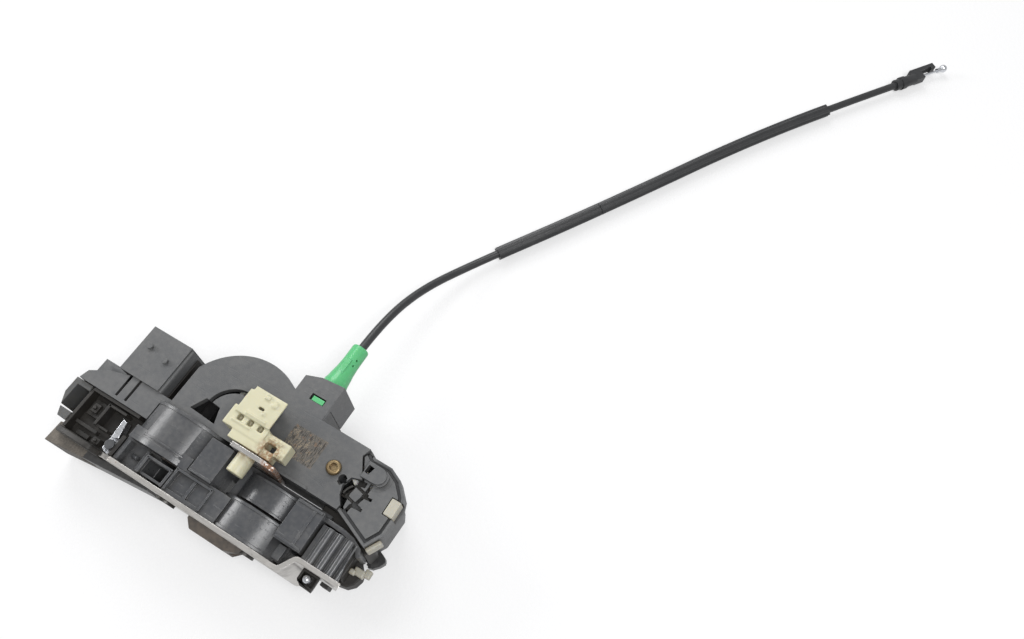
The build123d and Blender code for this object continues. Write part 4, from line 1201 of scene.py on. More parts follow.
@dataclass
class LatchHousing(Assembly):
    """Moulded body with its barrel, drum, pockets and ribs."""

    barrel: Flat = (-26.5, 26.0)
    drum: Flat = (31.0, 25.0)
    barrel_radius: float = 24.0
    rim_height: float = 0.55
    fin_first: Point = (63.6, -21.3, 42.2)
    fin_pitch: float = 5.5
    fin_count: int = 4
    fin_length: float = 17.6
    fin_radius: float = 0.55
    fin_faces: int = 16
    body_end: Point = (82.2, -30.4, 42.0)
    end_slope: Point = (13.4, 2.7, -3.27)
    barrel_rims: tuple[tuple[float, ...], ...] = (
        (-26.0, -22.8, 38, 142),
        (-21.9, -20.9, 60, 144),
        (-5.3, -3.5, 36, 144),
    )
    drum_rims: tuple[Flat, ...] = ((-38.5, -36.9), (-24.4, -23.0))
    hub_rims: tuple[Flat, ...] = ((-21.6, -20.4), (-10.4, -9.0))
    hub_radii: Flat = (18.6, 20.1)
    key_blocks: tuple[Block, ...] = (
        ((-83.0, -38.4, 30.0), (-81.2, -15.0, 36.5)),
        ((-81.2, -16.6, 30.0), (-50.4, -14.9, 38.6)),
        ((-51.6, -38.4, 30.0), (-49.3, -26.5, 38.4)),
        ((-79.5, -27.5, 30.0), (-71.5, -18.5, 32.6)),
        ((-77.5, -25.5, 32.6), (-73.5, -20.5, 34.6)),
        ((-80.6, -33.6, 30.0), (-66.5, -31.8, 33.8)),
        ((-69.5, -30.2, 30.0), (-67.9, -17.5, 37.2)),
        ((-69.5, -18.9, 30.0), (-57.6, -17.5, 37.2)),
        ((-69.5, -30.2, 30.0), (-60.8, -28.9, 36.0)),
        ((-66.0, -37.6, 30.0), (-61.5, -34.2, 34.5)),
        ((-77.0, -38.0, 30.0), (-69.0, -35.6, 32.4)),
    )
    key_floor: Block = ((-81.2, -38.2, 29.2), (-49.6, -15.2, 30.15))
    box_bottom: Block = ((-67.9, -28.9, 30.0), (-58.4, -18.9, 30.4))
    tray_blocks: tuple[Block, ...] = (
        ((-29.4, -38.0, 46.0), (-27.9, -28.7, 47.9)),
        ((-15.1, -38.0, 46.0), (-13.6, -28.7, 47.9)),
        ((-29.4, -29.7, 46.0), (-13.6, -28.4, 47.9)),
        ((-45.0, -38.0, 37.4), (-43.4, -27.0, 43.0)),
        ((-33.0, -38.0, 37.4), (-31.4, -27.0, 43.0)),
        ((-12.6, -27.4, 46.8), (9.2, -26.2, 48.4)),
        ((-12.6, -37.9, 46.8), (-11.4, -26.2, 48.4)),
        ((8.0, -37.9, 46.8), (9.2, -26.2, 48.4)),
        ((-6.8, -24.8, 49.8), (6.0, -23.4, 50.5)),
        ((45.6, -28.4, 45.8), (59.4, -27.2, 46.8)),
        ((45.6, -9.8, 45.8), (59.4, -8.6, 46.8)),
        ((45.2, -36.9, 39.8), (52.6, -29.6, 41.4)),
        ((54.6, -28.6, 45.8), (56.2, -9.0, 46.5)),
    )

    def body(self) -> bpy.types.Object:
        """Moulded body with its right-hand end cut on the slant.

        Returns:
            The body.
        """
        form = Form().add_node("latch_housing").trim(self.body_end, self.end_slope)
        made = form.soften(0.5, 2).piece("housing_body")
        return self.settle(made, "housing_plastic", stands_for=("latch_housing",))

    def end_block(self) -> bpy.types.Object:
        """Block under the tab at the right-hand end, with a filler behind it; its darkest black is painted
        shade between the body and the case.

        Returns:
            The block.
        """
        outline = [
            (70.0, -30.4), (76.4, -30.4), (80.4, -29.6), (83.4, -26.6), (84.6, -22.6),
            (83.6, -19.6), (80.0, -16.0), (78.0, -10.0), (60.0, -8.0), (60.0, -14.0), (70.0, -16.0),
        ]
        form = Form().prism(outline, 9.0, 17.0, Along.Z, 0.4)
        form.slab((66.0, -28.6, 16.5), (78.6, -9.6, 24.0), 0.8)
        form.slab((66.0, -27.6, 23.5), (77.4, -9.6, 32.0), 1.0)
        # Filler where the floor would show between the body and the case; its dark finish is painted shade.
        rear = [(52.0, -10.0), (52.0, -2.5), (79.0, -2.5), (84.0, -9.0), (82.6, -14.0), (76.0, -12.0)]
        form.prism(rear, 9.0, 29.6)
        made = form.soften(0.7, 3).piece("housing_end_block")
        return self.settle(made, "black_plastic", look="grime_and_shade_black")

    def back_rim(self) -> bpy.types.Object:
        """Bent rim that closes the gap between the body and the case.

        Returns:
            The rim.
        """
        outer = [(46.0, -7.4), (59.0, -8.4), (69.0, -8.6), (76.0, -9.8), (81.5, -12.4), (83.6, -16.0)]
        inner = [(81.2, -17.0), (79.2, -14.2), (75.0, -12.2), (68.6, -11.2), (59.0, -11.0), (46.0, -10.0)]
        form = Form().prism(outer + inner, 22.0, 38.4, Along.Z, 0.1)
        return self.settle(form.soften(0.5, 2).piece("housing_back_rim"), "housing_plastic")

    def bands(self) -> bpy.types.Object:
        """Raised rims round the barrel, the drum and the drum's hub.

        Returns:
            The rims.
        """
        form = Form()
        high = self.barrel_radius + self.rim_height
        low = self.barrel_radius - 0.6
        for start, end, first, last in self.barrel_rims:
            form.prism(arc_band(self.barrel, low, high, first, last), start, end, Along.Y)
        for start, end in self.drum_rims:
            form.prism(arc_band(self.drum, low, high, 52, 122), start, end, Along.Y)
        for start, end in self.hub_rims:
            form.prism(arc_band(self.drum, *self.hub_radii, 40, 128), start, end, Along.Y)
        return self.settle(form.soften(0.2, 2).piece("housing_rims"), "housing_plastic")

    def key_end(self) -> bpy.types.Object:
        """Walls, blocks and the open box round the key lever.

        Returns:
            The walls.
        """
        form = Form()
        for low, high in self.key_blocks:
            form.slab(low, high, 0.25)
        form.bar((-75.5, -23.0, 34.4), (-75.5, -23.0, 36.2), 1.1)
        form.bar((-63.6, -36.0, 34.4), (-63.6, -36.0, 36.0), 0.9)
        form.slab(*self.key_floor)
        made = form.soften(0.3, 2).piece("key_end_walls")
        # The darkest black of these walls and the floor is grime and painted shade in the recess.
        return self.settle(made, "black_plastic", look="grime_and_shade_black")

    def box_floor(self) -> bpy.types.Object:
        """Floor of the open box beside the key lever, a sheet in the darkest black: grime and painted shade.
        """
        form = Form().slab(*self.box_bottom)
        return self.settle(form.piece("key_box_floor"), "black_plastic", look="grime_and_shade_black")

    def edge_cover(self) -> bpy.types.Object:
        """Black strip that wraps the plate's edge at the key end.

        Returns:
            The strip.
        """
        outline = [
            (-86.8, 20.0), (-86.8, 32.6), (-83.0, 35.6), (-78.0, 39.6),
            (-64.0, 41.4), (-60.4, 40.0), (-58.0, 35.0), (-58.0, 20.0),
        ]
        form = Form().prism(outline, -41.8, -38.5, Along.Y, 0.3)
        made = form.soften(0.8, 3).piece("edge_cover")
        return self.settle(made, "black_plastic", look="grime_and_shade_black")

    def trays(self) -> bpy.types.Object:
        """Raised frames and small blocks along the plate.

        Returns:
            The frames.
        """
        form = Form()
        for low, high in self.tray_blocks:
            form.slab(low, high, 0.15)
        form.bar((-41.0, -32.5, 37.3), (-36.5, -32.5, 39.8), 1.2)
        return self.settle(form.soften(0.25, 2).piece("housing_trays"), "housing_plastic")

    def fin_tree(self) -> Growth:
        """Geometry nodes that set a row of round fins side by side.

        Returns:
            Tree with the inputs Count, Pitch, Length, Radius and Place.
        """
        floats = {name: "Float" for name in ("Pitch", "Length", "Radius")}
        row = Growth("fin_row", {"Count": "Int", **floats, "Place": "Vector"})
        step = row.node("ShaderNodeCombineXYZ", {"X": row.given["Pitch"]})
        line = {"Count": row.given["Count"], "Offset": step.outputs[0]}
        size = {"Vertices": self.fin_faces, "Depth": row.given["Length"], "Radius": row.given["Radius"]}
        spread = row.node(
            "GeometryNodeInstanceOnPoints",
            {
                "Points": row.node("GeometryNodeMeshLine", line).outputs[0],
                "Instance": row.node("GeometryNodeMeshCylinder", size).outputs["Mesh"],
                "Rotation": (math.pi / 2, 0.0, 0.0),
            },
        )
        place = {"Geometry": spread.outputs[0], "Translation": row.given["Place"]}
        row.close(row.node("GeometryNodeTransform", place).outputs[0])
        return row

    def fins(self) -> bpy.types.Object:
        """Row of thin fins between the ribs of the right-hand end.

        Returns:
            The fins.
        """
        wanted = {
            "Count": self.fin_count,
            "Pitch": MM * self.fin_pitch,
            "Length": MM * self.fin_length,
            "Radius": MM * self.fin_radius,
            "Place": tuple(MM * part for part in self.fin_first),
            "Finish": self.finish("housing_plastic"),
        }
        seed = show("fin_seed", bpy.data.meshes.new("fin_seed"))
        made = self.fin_tree().grow(seed, wanted, "housing_fins")
        return self.settle(made, "housing_plastic")

    def build(self) -> None:
        """Dress the body and add its moulded details."""
        self.body()
        self.end_block()
        self.back_rim()
        self.bands()
        self.key_end()
        self.box_floor()
        self.edge_cover()
        self.trays()
        self.fins()


@dataclass
class Levers(Assembly):
    """Levers, rod clip, seal and cap round the housing."""

    key_pin: Flat = (-54.0, -34.0)
    key_levels: Flat = (30.4, 36.2)
    key_radii: Point = (2.56, 4.2, 4.5)
    key_arm: tuple[Flat, ...] = (
        (-58.3, -20.2), (-55.6, -20.8), (-54.6, -25.0), (-53.6, -29.6), (-57.4, -31.2), (-58.0, -26.0),
    )
    key_foot: tuple[Flat, ...] = (
        (-57.2, -29.4), (-58.4, -33.6), (-57.6, -37.4), (-55.4, -38.2), (-56.6, -34.0), (-55.6, -30.6),
    )
    hook_pin: Flat = (78.5, -16.5)
    seal_joint: float = -67.0
    seal_lap: float = 0.2
    clip_grid: float = 0.4
    clip_passes: int = 7
    clip_corner: Block = ((-4.0, 21.6, 40.0), (-1.2, 26.0, 62.0))
    clip_knob: tuple[Flat, ...] = ((58.2, 1.9), (59.0, 1.9), (59.5, 1.3), (59.6, 0.0001))
    clip_bars: tuple[Block, ...] = (
        ((2.4, 10.2, 58.3), (14.6, 11.2, 59.2)),
        ((-2.2, 4.6, 56.9), (9.0, 5.4, 57.7)),
        ((19.0, 5.6, 55.2), (27.0, 6.8, 56.4)),
        ((26.2, 1.0, 55.2), (29.6, 2.2, 56.6)),
    )
    cap_cut: Block = ((73.0, 0.0, 38.0), (1.0, 0.0, -0.26))
    cap_clip: Block = ((74.0, -35.4, 30.0), (78.6, -33.4, 37.6))

    def key_lever(self) -> bpy.types.Object:
        """Slender bright lever with an eye round the key pin.

        Returns:
            The lever.
        """
        low, high = self.key_levels
        top = high - 2.0
        bore, rim, side = self.key_radii
        eye = [(low, bore), (low, rim), (low + 0.3, side)]
        eye += [(top - 0.3, side), (top, rim), (top, bore), (low, bore)]
        form = Form().lathe(eye, (*self.key_pin, 0.0), Along.Z, 36)
        form.prism(list(self.key_arm), low + 0.6, high, Along.Z, 0.2)
        form.prism(list(self.key_foot), low + 0.6, high - 0.4, Along.Z, 0.1)
        made = form.soften(0.35, 3).piece("key_lever_cast")
        return self.settle(made, "die_cast_zinc", stands_for=("key_lever",))

    def rod_clip(self) -> bpy.types.Object:
        """Soft-edged clip with its lugs, bars and knobs.

        Returns:
            The clip.
        """
        form = Form().add_node("rod_clip")
        undercut = [(17.6, 58.6), (24.0, 58.6), (24.0, 44.0), (11.4, 44.0)]
        form.carve(Form().prism(undercut, 9.2, 26.0, Along.Y))
        form.carve(Form().slab(*self.clip_corner))
        form.lathe(list(self.clip_knob), (12.6, 20.2, 0.0), Along.Z, 24)
        for low, high in self.clip_bars:
            form.slab(low, high, 0.2)
        form.bar((10.4, 13.8, 58.2), (10.4, 13.8, 59.3), 0.9)
        made = form.melt(self.clip_grid, self.clip_passes).piece("rod_clip_body", 80)
        return self.settle(made, "natural_nylon", stands_for=("rod_clip",))

    def seal_part(self, place: float, side: float) -> Form:
        """Part of the entrance's seal on one side of a plane across it.

        Args:
            place: Place of the plane along the plate.
            side: 1 to take the part before the plane, -1 the part behind it.

        Returns:
            The part as a closed form.
        """
        form = Form().add_node("entrance_seal")
        cut = bmesh.ops.bisect_plane(
            form.bm,
            geom=[*form.bm.verts, *form.bm.edges, *form.bm.faces],
            plane_co=(place, 0.0, 0.0),
            plane_no=(side, 0.0, 0.0),
            clear_outer=True,
        )
        rim = [item for item in cut["geom_cut"] if isinstance(item, bmesh.types.BMEdge)]
        bmesh.ops.holes_fill(form.bm, edges=rim)
        return form

    def seal(self) -> bpy.types.Object:
        """Curled rubber flap at the end of the entrance.

        Returns:
            The flap.
        """
        made = self.seal_part(self.seal_joint, 1.0).soften(0.9, 3).piece("entrance_flap", 60)
        return self.settle(made, "seal_rubber", stands_for=("entrance_seal",))

    def wedge(self) -> bpy.types.Object:
        """Black wedge that carries the flap along the plate.

        Returns:
            The wedge.
        """
        form = self.seal_part(self.seal_joint - self.seal_lap, -1.0)
        return self.settle(form.soften(0.4, 2).piece("entrance_wedge"), "black_plastic")

    def hook(self) -> bpy.types.Object:
        """Curled hook lever, open towards the right.

        Returns:
            The hook.
        """
        x, y = self.hook_pin
        gap = [(0.0, 0.0), (-2.0, -5.0), (-3.0, -14.0), (16.0, -14.0), (16.0, 12.0)]
        gap += [(9.8, 12.0), (9.4, 7.6), (7.6, 4.2), (4.7, 1.5)]
        tip = [(1.5, 1.8), (1.5, 5.4), (3.2, 7.6), (3.7, 9.7), (5.6, 10.2)]
        tip += [(8.0, 9.1), (8.9, 7.8), (8.7, 6.0), (7.6, 4.2), (5.1, 1.5)]
        opening = Form().prism([(x + right, y + back) for right, back in gap], -2.0, 9.0)
        form = Form().add_node("hook_lever").carve(opening)
        form.prism([(x + right, y + back) for right, back in tip], 0.8, 5.4)
        made = form.soften(0.9, 3).piece("hook_curl", 50)
        return self.settle(made, "black_plastic", stands_for=("hook_lever",))

    def cap(self) -> bpy.types.Object:
        """Cap over the bolt lug, with a small clip beside it.

        Returns:
            The cap.
        """
        form = Form().add_node("lug_cap").trim(*self.cap_cut)
        form.slab(*self.cap_clip, 0.2)
        made = form.soften(0.5, 2).piece("lug_cover")
        return self.settle(made, "black_plastic", stands_for=("lug_cap",), look="grime_and_shade_black")

    def build(self) -> None:
        """Build the levers and the small pieces round them."""
        self.reface("lever_pin", "zinc_steel", 0.2)
        self.reface("release_lever", "lever_steel", 0.3)
        self.rod_clip()
        self.key_lever()
        self.reface("key_bearing", "light_grey_plastic", 1.8, 5)
        self.seal()
        self.wedge()
        self.cap()
        self.reface("detent_pin", "die_cast_zinc", 0.2)
        self.hook()


@dataclass
class ActuatorShell(Assembly):
    """Case, covers, connector and the parts held between them."""

    lid_top: float = 42.7
    groove_depth: float = 4.6
    groove_width: float = 1.8
    bend: tuple[Flat, ...] = (
        (69.4, 14.2), (69.2, 10.5), (68.9, 7.0), (68.0, 3.8), (66.2, 1.2), (65.8, -1.3), (66.0, -4.6),
    )
    notches: tuple[tuple[Flat, Flat], ...] = (
        ((68.6, 7.8), (73.0, 8.3)),
        ((67.0, 1.6), (71.6, 2.0)),
        ((66.4, -6.0), (70.4, -5.8)),
    )
    notch_width: float = 1.5
    edge_depth: float = 1.9
    boss_centre: Flat = (70.0, 19.4)
    boss_radius: float = 4.4
    boss_start: float = 62.4
    boss_slot: tuple[Flat, ...] = ((63.0, 18.0), (65.4, 17.4), (66.6, 21.6), (63.4, 22.0))
    moon_levels: Flat = (39.0, 44.0)
    window: Block = ((17.2, 34.7, 38.6), (25.6, 38.2, 44.0))
    window_frame: tuple[Block, ...] = (
        ((13.2, 38.2, 38.6), (23.4, 40.1, 41.98)),
        ((13.2, 36.3, 38.6), (17.2, 38.2, 41.98)),
    )
    gap_low: Point = (-47.9, -2.6, 12.0)
    gap_high: Point = (-41.6, 26.0, 36.0)
    gap_end: float = 23.8
    tongue: Block = ((79.4, -22.4, 14.6), (85.0, -18.6, 19.8))
    tongue_lip: Block = ((78.0, -23.4, 19.4), (81.4, -20.4, 22.0))

    def groove(self, form: Form, line: tuple[Flat, ...], width: float) -> None:
        """Add a bent bar that cuts one groove into the lid.

        Args:
            form: Cutter that receives the bar.
            line: Middle of the groove.
            width: Width of the groove.
        """
        low, high = self.lid_top - self.groove_depth, self.lid_top + 1.0
        for start, end in zip(line, line[1:]):
            away = Vector(end) - Vector(start)
            side = Vector((-away.y, away.x)).normalized() * width / 2
            reach = away.normalized() * width * 0.4
            corners = [
                Vector(start) - reach - side,
                Vector(end) + reach - side,
                Vector(end) + reach + side,
                Vector(start) - reach + side,
            ]
            form.prism([tuple(corner) for corner in corners], low, high)

    def lid(self) -> bpy.types.Object:
        """Right-hand lid with its bent groove and notches.

        Returns:
            The lid.
        """
        form = Form().add_node("right_lid")
        for start, end in zip(self.bend, self.bend[1:]):
            tool = Form()
            self.groove(tool, (start, end), self.groove_width)
            form.carve(tool)
        for notch in self.notches:
            tool = Form()
            self.groove(tool, notch, self.notch_width)
            form.carve(tool)
        above = self.lid_top + 1.0
        form.carve(Form().prism(list(self.boss_slot), self.lid_top - self.groove_depth, above))
        shade = arc_band(self.boss_centre, self.boss_radius + 0.9, self.boss_radius + 2.9, -92, 78, 18)
        form.carve(Form().prism(shade, self.lid_top - self.edge_depth, above))
        straight = [(64.6, 12.2), (70.2, 12.2), (70.2, 14.0), (64.6, 14.0)]
        form.carve(Form().prism(straight, self.lid_top - self.edge_depth, above))
        made = form.soften(0.3, 2).piece("lid_body")
        return self.settle(made, "case_plastic", stands_for=("right_lid",))

    def lid_boss(self) -> bpy.types.Object:
        """Raised boss on the lid, with its slot.

        Returns:
            The boss.
        """
        x, y = self.boss_centre
        turns = [math.radians(-90 + 15 * step) for step in range(13)]
        reach = self.boss_radius
        nose = [(x + reach * math.cos(turn), y + reach * math.sin(turn)) for turn in turns]
        outline = nose + [(self.boss_start, y + reach), (self.boss_start, y - reach)]
        form = Form().prism(outline, self.lid_top - 0.5, self.lid_top + 0.9, Along.Z, 0.3)
        form.carve(Form().prism(list(self.boss_slot), self.lid_top - 1.0, self.lid_top + 2.0))
        return self.settle(form.soften(0.3, 2).piece("lid_boss"), "case_plastic")

    def cover(self) -> bpy.types.Object:
        """Cover with the wire's window and the half-moon slot.

        Returns:
            The cover.
        """
        form = Form().add_node("actuator_cover")
        form.carve(Form().slab(*self.window))
        moon = [(54.0, 7.6), (54.6, 10.6), (56.0, 11.9), (57.6, 11.3), (58.0, 9.2), (56.0, 6.6)]
        form.carve(Form().prism(moon, *self.moon_levels)).soften(0.4, 2)
        for low, high in self.window_frame:
            form.slab(low, high)
        return self.settle(form.piece("cover_body"), "case_plastic", stands_for=("actuator_cover",))

    def case(self) -> bpy.types.Object:
        """Case with the deep gap beside its connector.

        Returns:
            The case.
        """
        form = Form().add_node("actuator_case").carve(Form().slab(self.gap_low, self.gap_high))
        made = form.soften(0.4, 2).piece("case_body")
        return self.settle(made, "case_plastic", stands_for=("actuator_case",))

    def gap_floor(self) -> bpy.types.Object:
        """Floor and wall of the gap beside the connector, in the darkest black as painted shade.

        Returns:
            The floor.
        """
        x, y, z = self.gap_low
        form = Form().slab((x, y, z - 0.4), (self.gap_high[0], self.gap_end, z + 0.6))
        form.slab((x - 0.3, y, z + 0.6), (x + 0.5, self.gap_end, self.gap_high[2] - 1.2))
        return self.settle(form.piece("case_gap_floor"), "black_plastic", look="grime_and_shade_black")

    def screw(self) -> bpy.types.Object:
        """Pan-head screw with a six-lobed recess."""
        made = Form().add_node("cover_screw").soften(0.35, 3).piece("screw_body", 50)
        return self.settle(made, "yellow_zinc", stands_for=("cover_screw",))

    def tabs(self) -> bpy.types.Object:
        """Tabs of the inner carrier, with the tongue that holds the lowest one.

        Returns:
            The tabs.
        """
        form = Form().add_node("carrier_tabs")
        form.slab(*self.tongue)
        form.slab(*self.tongue_lip, 0.3)
        made = form.soften(0.7, 3).piece("tab_set")
        return self.settle(made, "natural_nylon", stands_for=("carrier_tabs",), look="tab_nylon")

    def build(self) -> None:
        """Build the shell from the bottom up."""
        self.case()
        self.gap_floor()
        self.cover()
        self.lid()
        self.lid_boss()
        self.dress("lid_seal", "cable_black")
        self.dress("connector_terminals", "terminal_brass")
        self.screw()
        self.tabs()


@dataclass
class DriveTrain(Assembly):
    """Motor, gears, links and levers inside the case."""

    link_corner: Point = (51.4, 26.0, 0.0)
    link_slope: Point = (0.35, 0.94, 0.0)
    slots: dict[str, str] = field(
        default_factory=lambda: {
            "worm_sector": "gear_nylon",
            "worm": "terminal_brass",
            "motor_can": "zinc_steel",
            "motor_cap": "black_plastic",
            "lock_lever": "dark_steel_and_shade",
            "microswitches": "black_plastic",
            "inside_lever": "lever_steel",
            "inner_wire": "spring_steel",
        }
    )

    def link(self) -> bpy.types.Object:
        """Lock link with the corner that meets the case at full travel taken off.

        Returns:
            The link.
        """
        form = Form().add_node("lock_link").trim(self.link_corner, self.link_slope)
        made = form.soften(0.2, 2).piece("lock_link_bar")
        return self.settle(made, "gear_nylon", stands_for=("lock_link",))

    def build(self) -> None:
        """Dress each piece of the drive."""
        self.link()
        for node, slot in self.slots.items():
            self.dress(node, slot)


@dataclass
class HandleCable(Assembly):
    """Cable to the inside handle, with its fittings and ribbed sleeves."""

    route: tuple[Point, ...] = (
        (17.8, 66.0, 26.0),
        (17.8, 90.0, 26.0),
        (20.5, 124.0, 15.5),
        (34.5, 160.0, 4.6),
        (67.5, 211.5, 4.6),
        (98.0, 261.5, 4.6),
        (131.0, 317.0, 4.6),
        (168.0, 372.0, 4.6),
        (206.4, 423.6, 4.6),
    )
    sheath_width: float = 4.6
    sheath_length: float = 414.0
    sleeve_outer: float = 4.15
    sleeve_inner: float = 3.1
    sleeve_ribs: int = 8
    sleeve_step: float = 3.0
    rib_softness: float = 0.35
    rib_angle: float = 50.0
    ferrule_rib: Block = ((15.6, 52.0, 30.4), (19.4, 66.0, 31.5))
    ferrule_tab: Block = ((18.2, 34.9, 30.0), (25.0, 37.6, 41.4))
    dot_places: Flat = (63.5, 67.0)
    near_span: Flat = (114.5, 184.0)
    far_span: Flat = (184.3, 354.0)

    def line(self, name: str) -> bpy.types.Object:
        """Smooth line of the cable's route.

        Args:
            name: Name of the curve object.

        Returns:
            Curve object with one open spline.
        """
        curve = bpy.data.curves.new(name, "CURVE")
        curve.dimensions = "3D"
        curve.resolution_u = 16
        spline = curve.splines.new("NURBS")
        spline.points.add(len(self.route) - 1)
        for point, place in zip(spline.points, self.route):
            point.co = (*(MM * part for part in place), 1.0)
        spline.order_u = 3
        spline.use_endpoint_u = True
        return show(name, curve)

    def sheath(self) -> bpy.types.Object:
        """Extruded black sheath along the whole route.

        Returns:
            The sheath as a curve.
        """
        made = self.line("sheath")
        made.data.bevel_depth = MM * self.sheath_width / 2
        made.data.bevel_resolution = 5
        made.data.use_fill_caps = True
        return self.settle(made, "cable_black", stands_for=("cable_sheath",))

    def sleeve_tree(self) -> Growth:
        """Geometry nodes that draw a ribbed sleeve along part of a curve.

        Returns:
            Tree with the inputs Start, End, Outer, Inner and Ribs.
        """
        floats = {name: "Float" for name in ("Start", "End", "Outer", "Inner")}
        sleeve = Growth("ribbed_sleeve", {**floats, "Ribs": "Int"})
        given = sleeve.given
        span = {"Curve": given["Geometry"], 4: given["Start"], 5: given["End"]}
        trim = sleeve.node("GeometryNodeTrimCurve", span, "LENGTH")
        even = {"Curve": trim.outputs[0], "Length": MM * self.sleeve_step}
        spread = sleeve.node("GeometryNodeResampleCurve", even, "LENGTH")
        ribs = {"Points": given["Ribs"], "Outer Radius": given["Outer"], "Inner Radius": given["Inner"]}
        star = sleeve.node("GeometryNodeCurveStar", ribs)
        round_off = {"Curve": star.outputs["Curve"], "Count": 2, "Radius": MM * self.rib_softness}
        fillet = sleeve.node("GeometryNodeFilletCurve", round_off, "POLY")
        path = {"Curve": spread.outputs[0], "Profile Curve": fillet.outputs[0], "Fill Caps": True}
        sleeve.close(sleeve.node("GeometryNodeCurveToMesh", path).outputs[0])
        return sleeve

    def sleeve(self, tree: Growth, node: str, span: Flat) -> bpy.types.Object:
        """Ribbed sleeve over one span of the cable.

        Args:
            tree: Tree that draws the sleeve.
            node: Solid that it stands for.
            span: Start and end along the cable, in millimetres.

        Returns:
            The sleeve as a plain mesh.
        """
        carrier = self.line(node + "_line")
        wanted = {
            "Start": MM * span[0],
            "End": MM * span[1],
            "Outer": MM * self.sleeve_outer,
            "Inner": MM * self.sleeve_inner,
            "Ribs": self.sleeve_ribs,
            "Finish": self.finish("cable_black"),
        }
        made = tree.grow(carrier, wanted, node + "_ribs")
        made.data.set_sharp_from_angle(angle=math.radians(self.rib_angle))
        return self.settle(made, "cable_black", stands_for=(node,))

    def ferrule(self) -> bpy.types.Object:
        """Green fitting that tapers down to the sheath.

        Returns:
            The fitting.
        """
        profile = [
            (34.95, 4.2), (48.9, 4.2), (49.0, 6.2), (49.4, 6.6), (51.6, 6.6), (53.0, 6.2),
            (56.0, 5.8), (60.0, 5.2), (64.0, 4.9), (68.0, 4.8), (73.6, 4.8), (74.5, 4.6),
            (74.9, 4.2), (75.0, 3.6), (75.0, 2.35),
        ]
        x, _, z = self.route[0]
        form = Form().lathe(profile, (x, 0.0, z), Along.Y, 40)
        for along in self.dot_places:
            form.carve(Form().bar((19.2, along, 27.4), (23.4, along, 32.0), 0.55))
        form.slab(*self.ferrule_rib, 0.6)
        form.slab(*self.ferrule_tab, 0.1)
        piece = form.soften(0.2, 2, 50).piece("ferrule_body")
        return self.settle(piece, "green_plastic", stands_for=("cable_ferrule",))

    def build(self) -> None:
        sheath = self.sheath()
        tree = self.sleeve_tree()
        near = self.sleeve(tree, "sleeve_near", self.near_span)
        far = self.sleeve(tree, "sleeve_far", self.far_span)
        ferrule = self.ferrule()
        self.dress("end_ferrule", "cable_black")
        self.dress("pull_wire", "die_cast_zinc")


@dataclass(frozen=True)
class Lamp:
    """Square area lamp, with its place and size in metres and its power in watts."""

    name: str
    place: Point
    size: float
    power: float


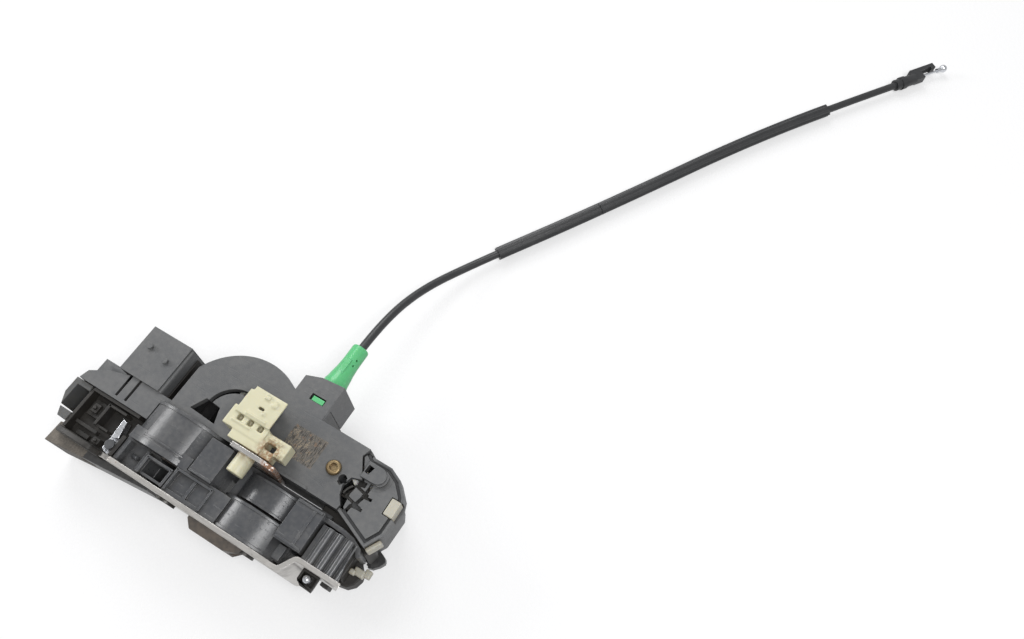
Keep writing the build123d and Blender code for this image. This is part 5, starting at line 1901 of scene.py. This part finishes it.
@dataclass
class Studio:
    """Pale floor, soft lamps and the camera."""

    camera_place: Point = (0.1825, -0.045, 0.44)
    camera_look: Point = (-0.2263, 0.3813, -0.8963)
    camera_right: Point = (0.8599, 0.5105, 0.0)
    focal_length: float = 29.88
    sensor: float = 36.0
    floor_size: float = 16.0
    floor_place: Point = (0.1, 0.15, -0.0002)
    floor_white: float = 0.5
    floor_grey: Colour = (0.45, 0.45, 0.46)
    floor_pale: Colour = (0.86, 0.86, 0.87)
    floor_fade: Flat = (0.45, 1.1)
    world_strength: float = 0.42
    lamp_aim: Point = (0.03, 0.08, 0.0)
    lamps: tuple[Lamp, ...] = (
        Lamp("key_lamp", (-0.5, 0.75, 0.95), 0.7, 6.5),
        Lamp("window_lamp", (0.62, -0.1, 1.15), 0.5, 8.5),
        Lamp("left_lamp", (-1.15, -0.05, 0.52), 0.42, 6.0),
    )

    def camera(self) -> None:
        """Place the camera over the bench."""
        data = bpy.data.cameras.new("bench_camera")
        data.lens = self.focal_length
        data.sensor_width = self.sensor
        data.clip_start = 0.01
        made = show("bench_camera", data)
        right = Vector(self.camera_right).normalized()
        look = Vector(self.camera_look).normalized()
        rise = right.cross(look)
        turn = Matrix((right, rise, -look)).transposed().to_4x4()
        turn.translation = Vector(self.camera_place)
        made.matrix_world = turn
        bpy.context.scene.camera = made

    def paper(self, name: str, share: float) -> bpy.types.Material:
        """Pale paper that keeps shadows and looks white to the camera.

        Args:
            name: Name of the material.
            share: Share of plain white that the camera sees close to the part.

        Returns:
            The material.
        """
        shader = Shader(name)
        path = shader.node("ShaderNodeLightPath")
        camera_ray = Value(shader, path.outputs["Is Camera Ray"])
        colour = shader.blend(camera_ray, self.floor_grey, self.floor_pale)
        shader.set(Base_Color=colour, Roughness=0.8)
        height = shader.noise(420, 3)
        shader.feed(shader.surface.inputs["Normal"], shader.bump(height, 0.25))
        seen = camera_ray.most(Value(shader, path.outputs["Is Glossy Ray"]))
        seen = seen.most(Value(shader, path.outputs["Is Transmission Ray"]))
        away = shader.node("ShaderNodeVectorMath", {"operation": "LENGTH"}, {0: shader.place})
        white = Value(shader, away.outputs["Value"]).step(*self.floor_fade) * (1 - share) + share
        glow = shader.node("ShaderNodeEmission", {}, {"Color": (1.0, 1.0, 1.0), "Strength": 1.0})
        layers = {0: seen * white, 1: shader.surface.outputs[0], 2: glow.outputs[0]}
        mixed = shader.node("ShaderNodeMixShader", {}, layers)
        out = [node for node in shader.tree.nodes if node.type == "OUTPUT_MATERIAL"][0]
        shader.feed(out.inputs[0], mixed.outputs[0])
        return shader.material

    def floor(self) -> None:
        """Lay the floor under the part."""
        half = self.floor_size / 2
        mesh = bpy.data.meshes.new("floor")
        corners = [(-half, -half, 0), (half, -half, 0), (half, half, 0), (-half, half, 0)]
        mesh.from_pydata(corners, [], [(0, 1, 2, 3)])
        mesh.materials.append(self.paper("pale_floor", self.floor_white))
        made = show("floor", mesh)
        made.location = self.floor_place

    def hang(self, lamp: Lamp) -> None:
        """Hang one soft area lamp that faces the part.

        Args:
            lamp: Lamp to hang.
        """
        data = bpy.data.lights.new(lamp.name, "AREA")
        data.energy = lamp.power
        data.size = lamp.size
        made = show(lamp.name, data)
        made.location = lamp.place
        aim = Vector(self.lamp_aim) - Vector(lamp.place)
        made.rotation_mode = "QUATERNION"
        made.rotation_quaternion = aim.to_track_quat("-Z", "Y")

    def world(self) -> None:
        """Even surroundings that the camera sees as plain white."""
        world = bpy.data.worlds.new("soft_room")
        bpy.context.scene.world = world
        world.use_nodes = True
        tree = world.node_tree
        tree.nodes.clear()
        path = tree.nodes.new("ShaderNodeLightPath")
        mixed = tree.nodes.new("ShaderNodeMixShader")
        tree.links.new(path.outputs["Is Camera Ray"], mixed.inputs[0])
        for socket, strength in ((1, self.world_strength), (2, 1.0)):
            light = tree.nodes.new("ShaderNodeBackground")
            light.inputs[0].default_value = (1.0, 1.0, 1.0, 1.0)
            light.inputs[1].default_value = strength
            tree.links.new(light.outputs[0], mixed.inputs[socket])
        out = tree.nodes.new("ShaderNodeOutputWorld")
        tree.links.new(mixed.outputs[0], out.inputs[0])

    def build(self) -> None:
        """Set up the whole studio."""
        self.camera()
        self.floor()
        self.world()
        for lamp in self.lamps:
            self.hang(lamp)
        bpy.context.scene.view_settings.view_transform = "Standard"


def main() -> None:
    """Build and dress the part, then set up the studio."""
    assemblies = [LatchEnd(), LatchHousing(), Levers(), ActuatorShell(), DriveTrain(), HandleCable()]
    for assembly in assemblies:
        log.info("building %s", type(assembly).__name__)
        assembly.build()
    Studio().build()


if __name__ == "__main__":
    main()
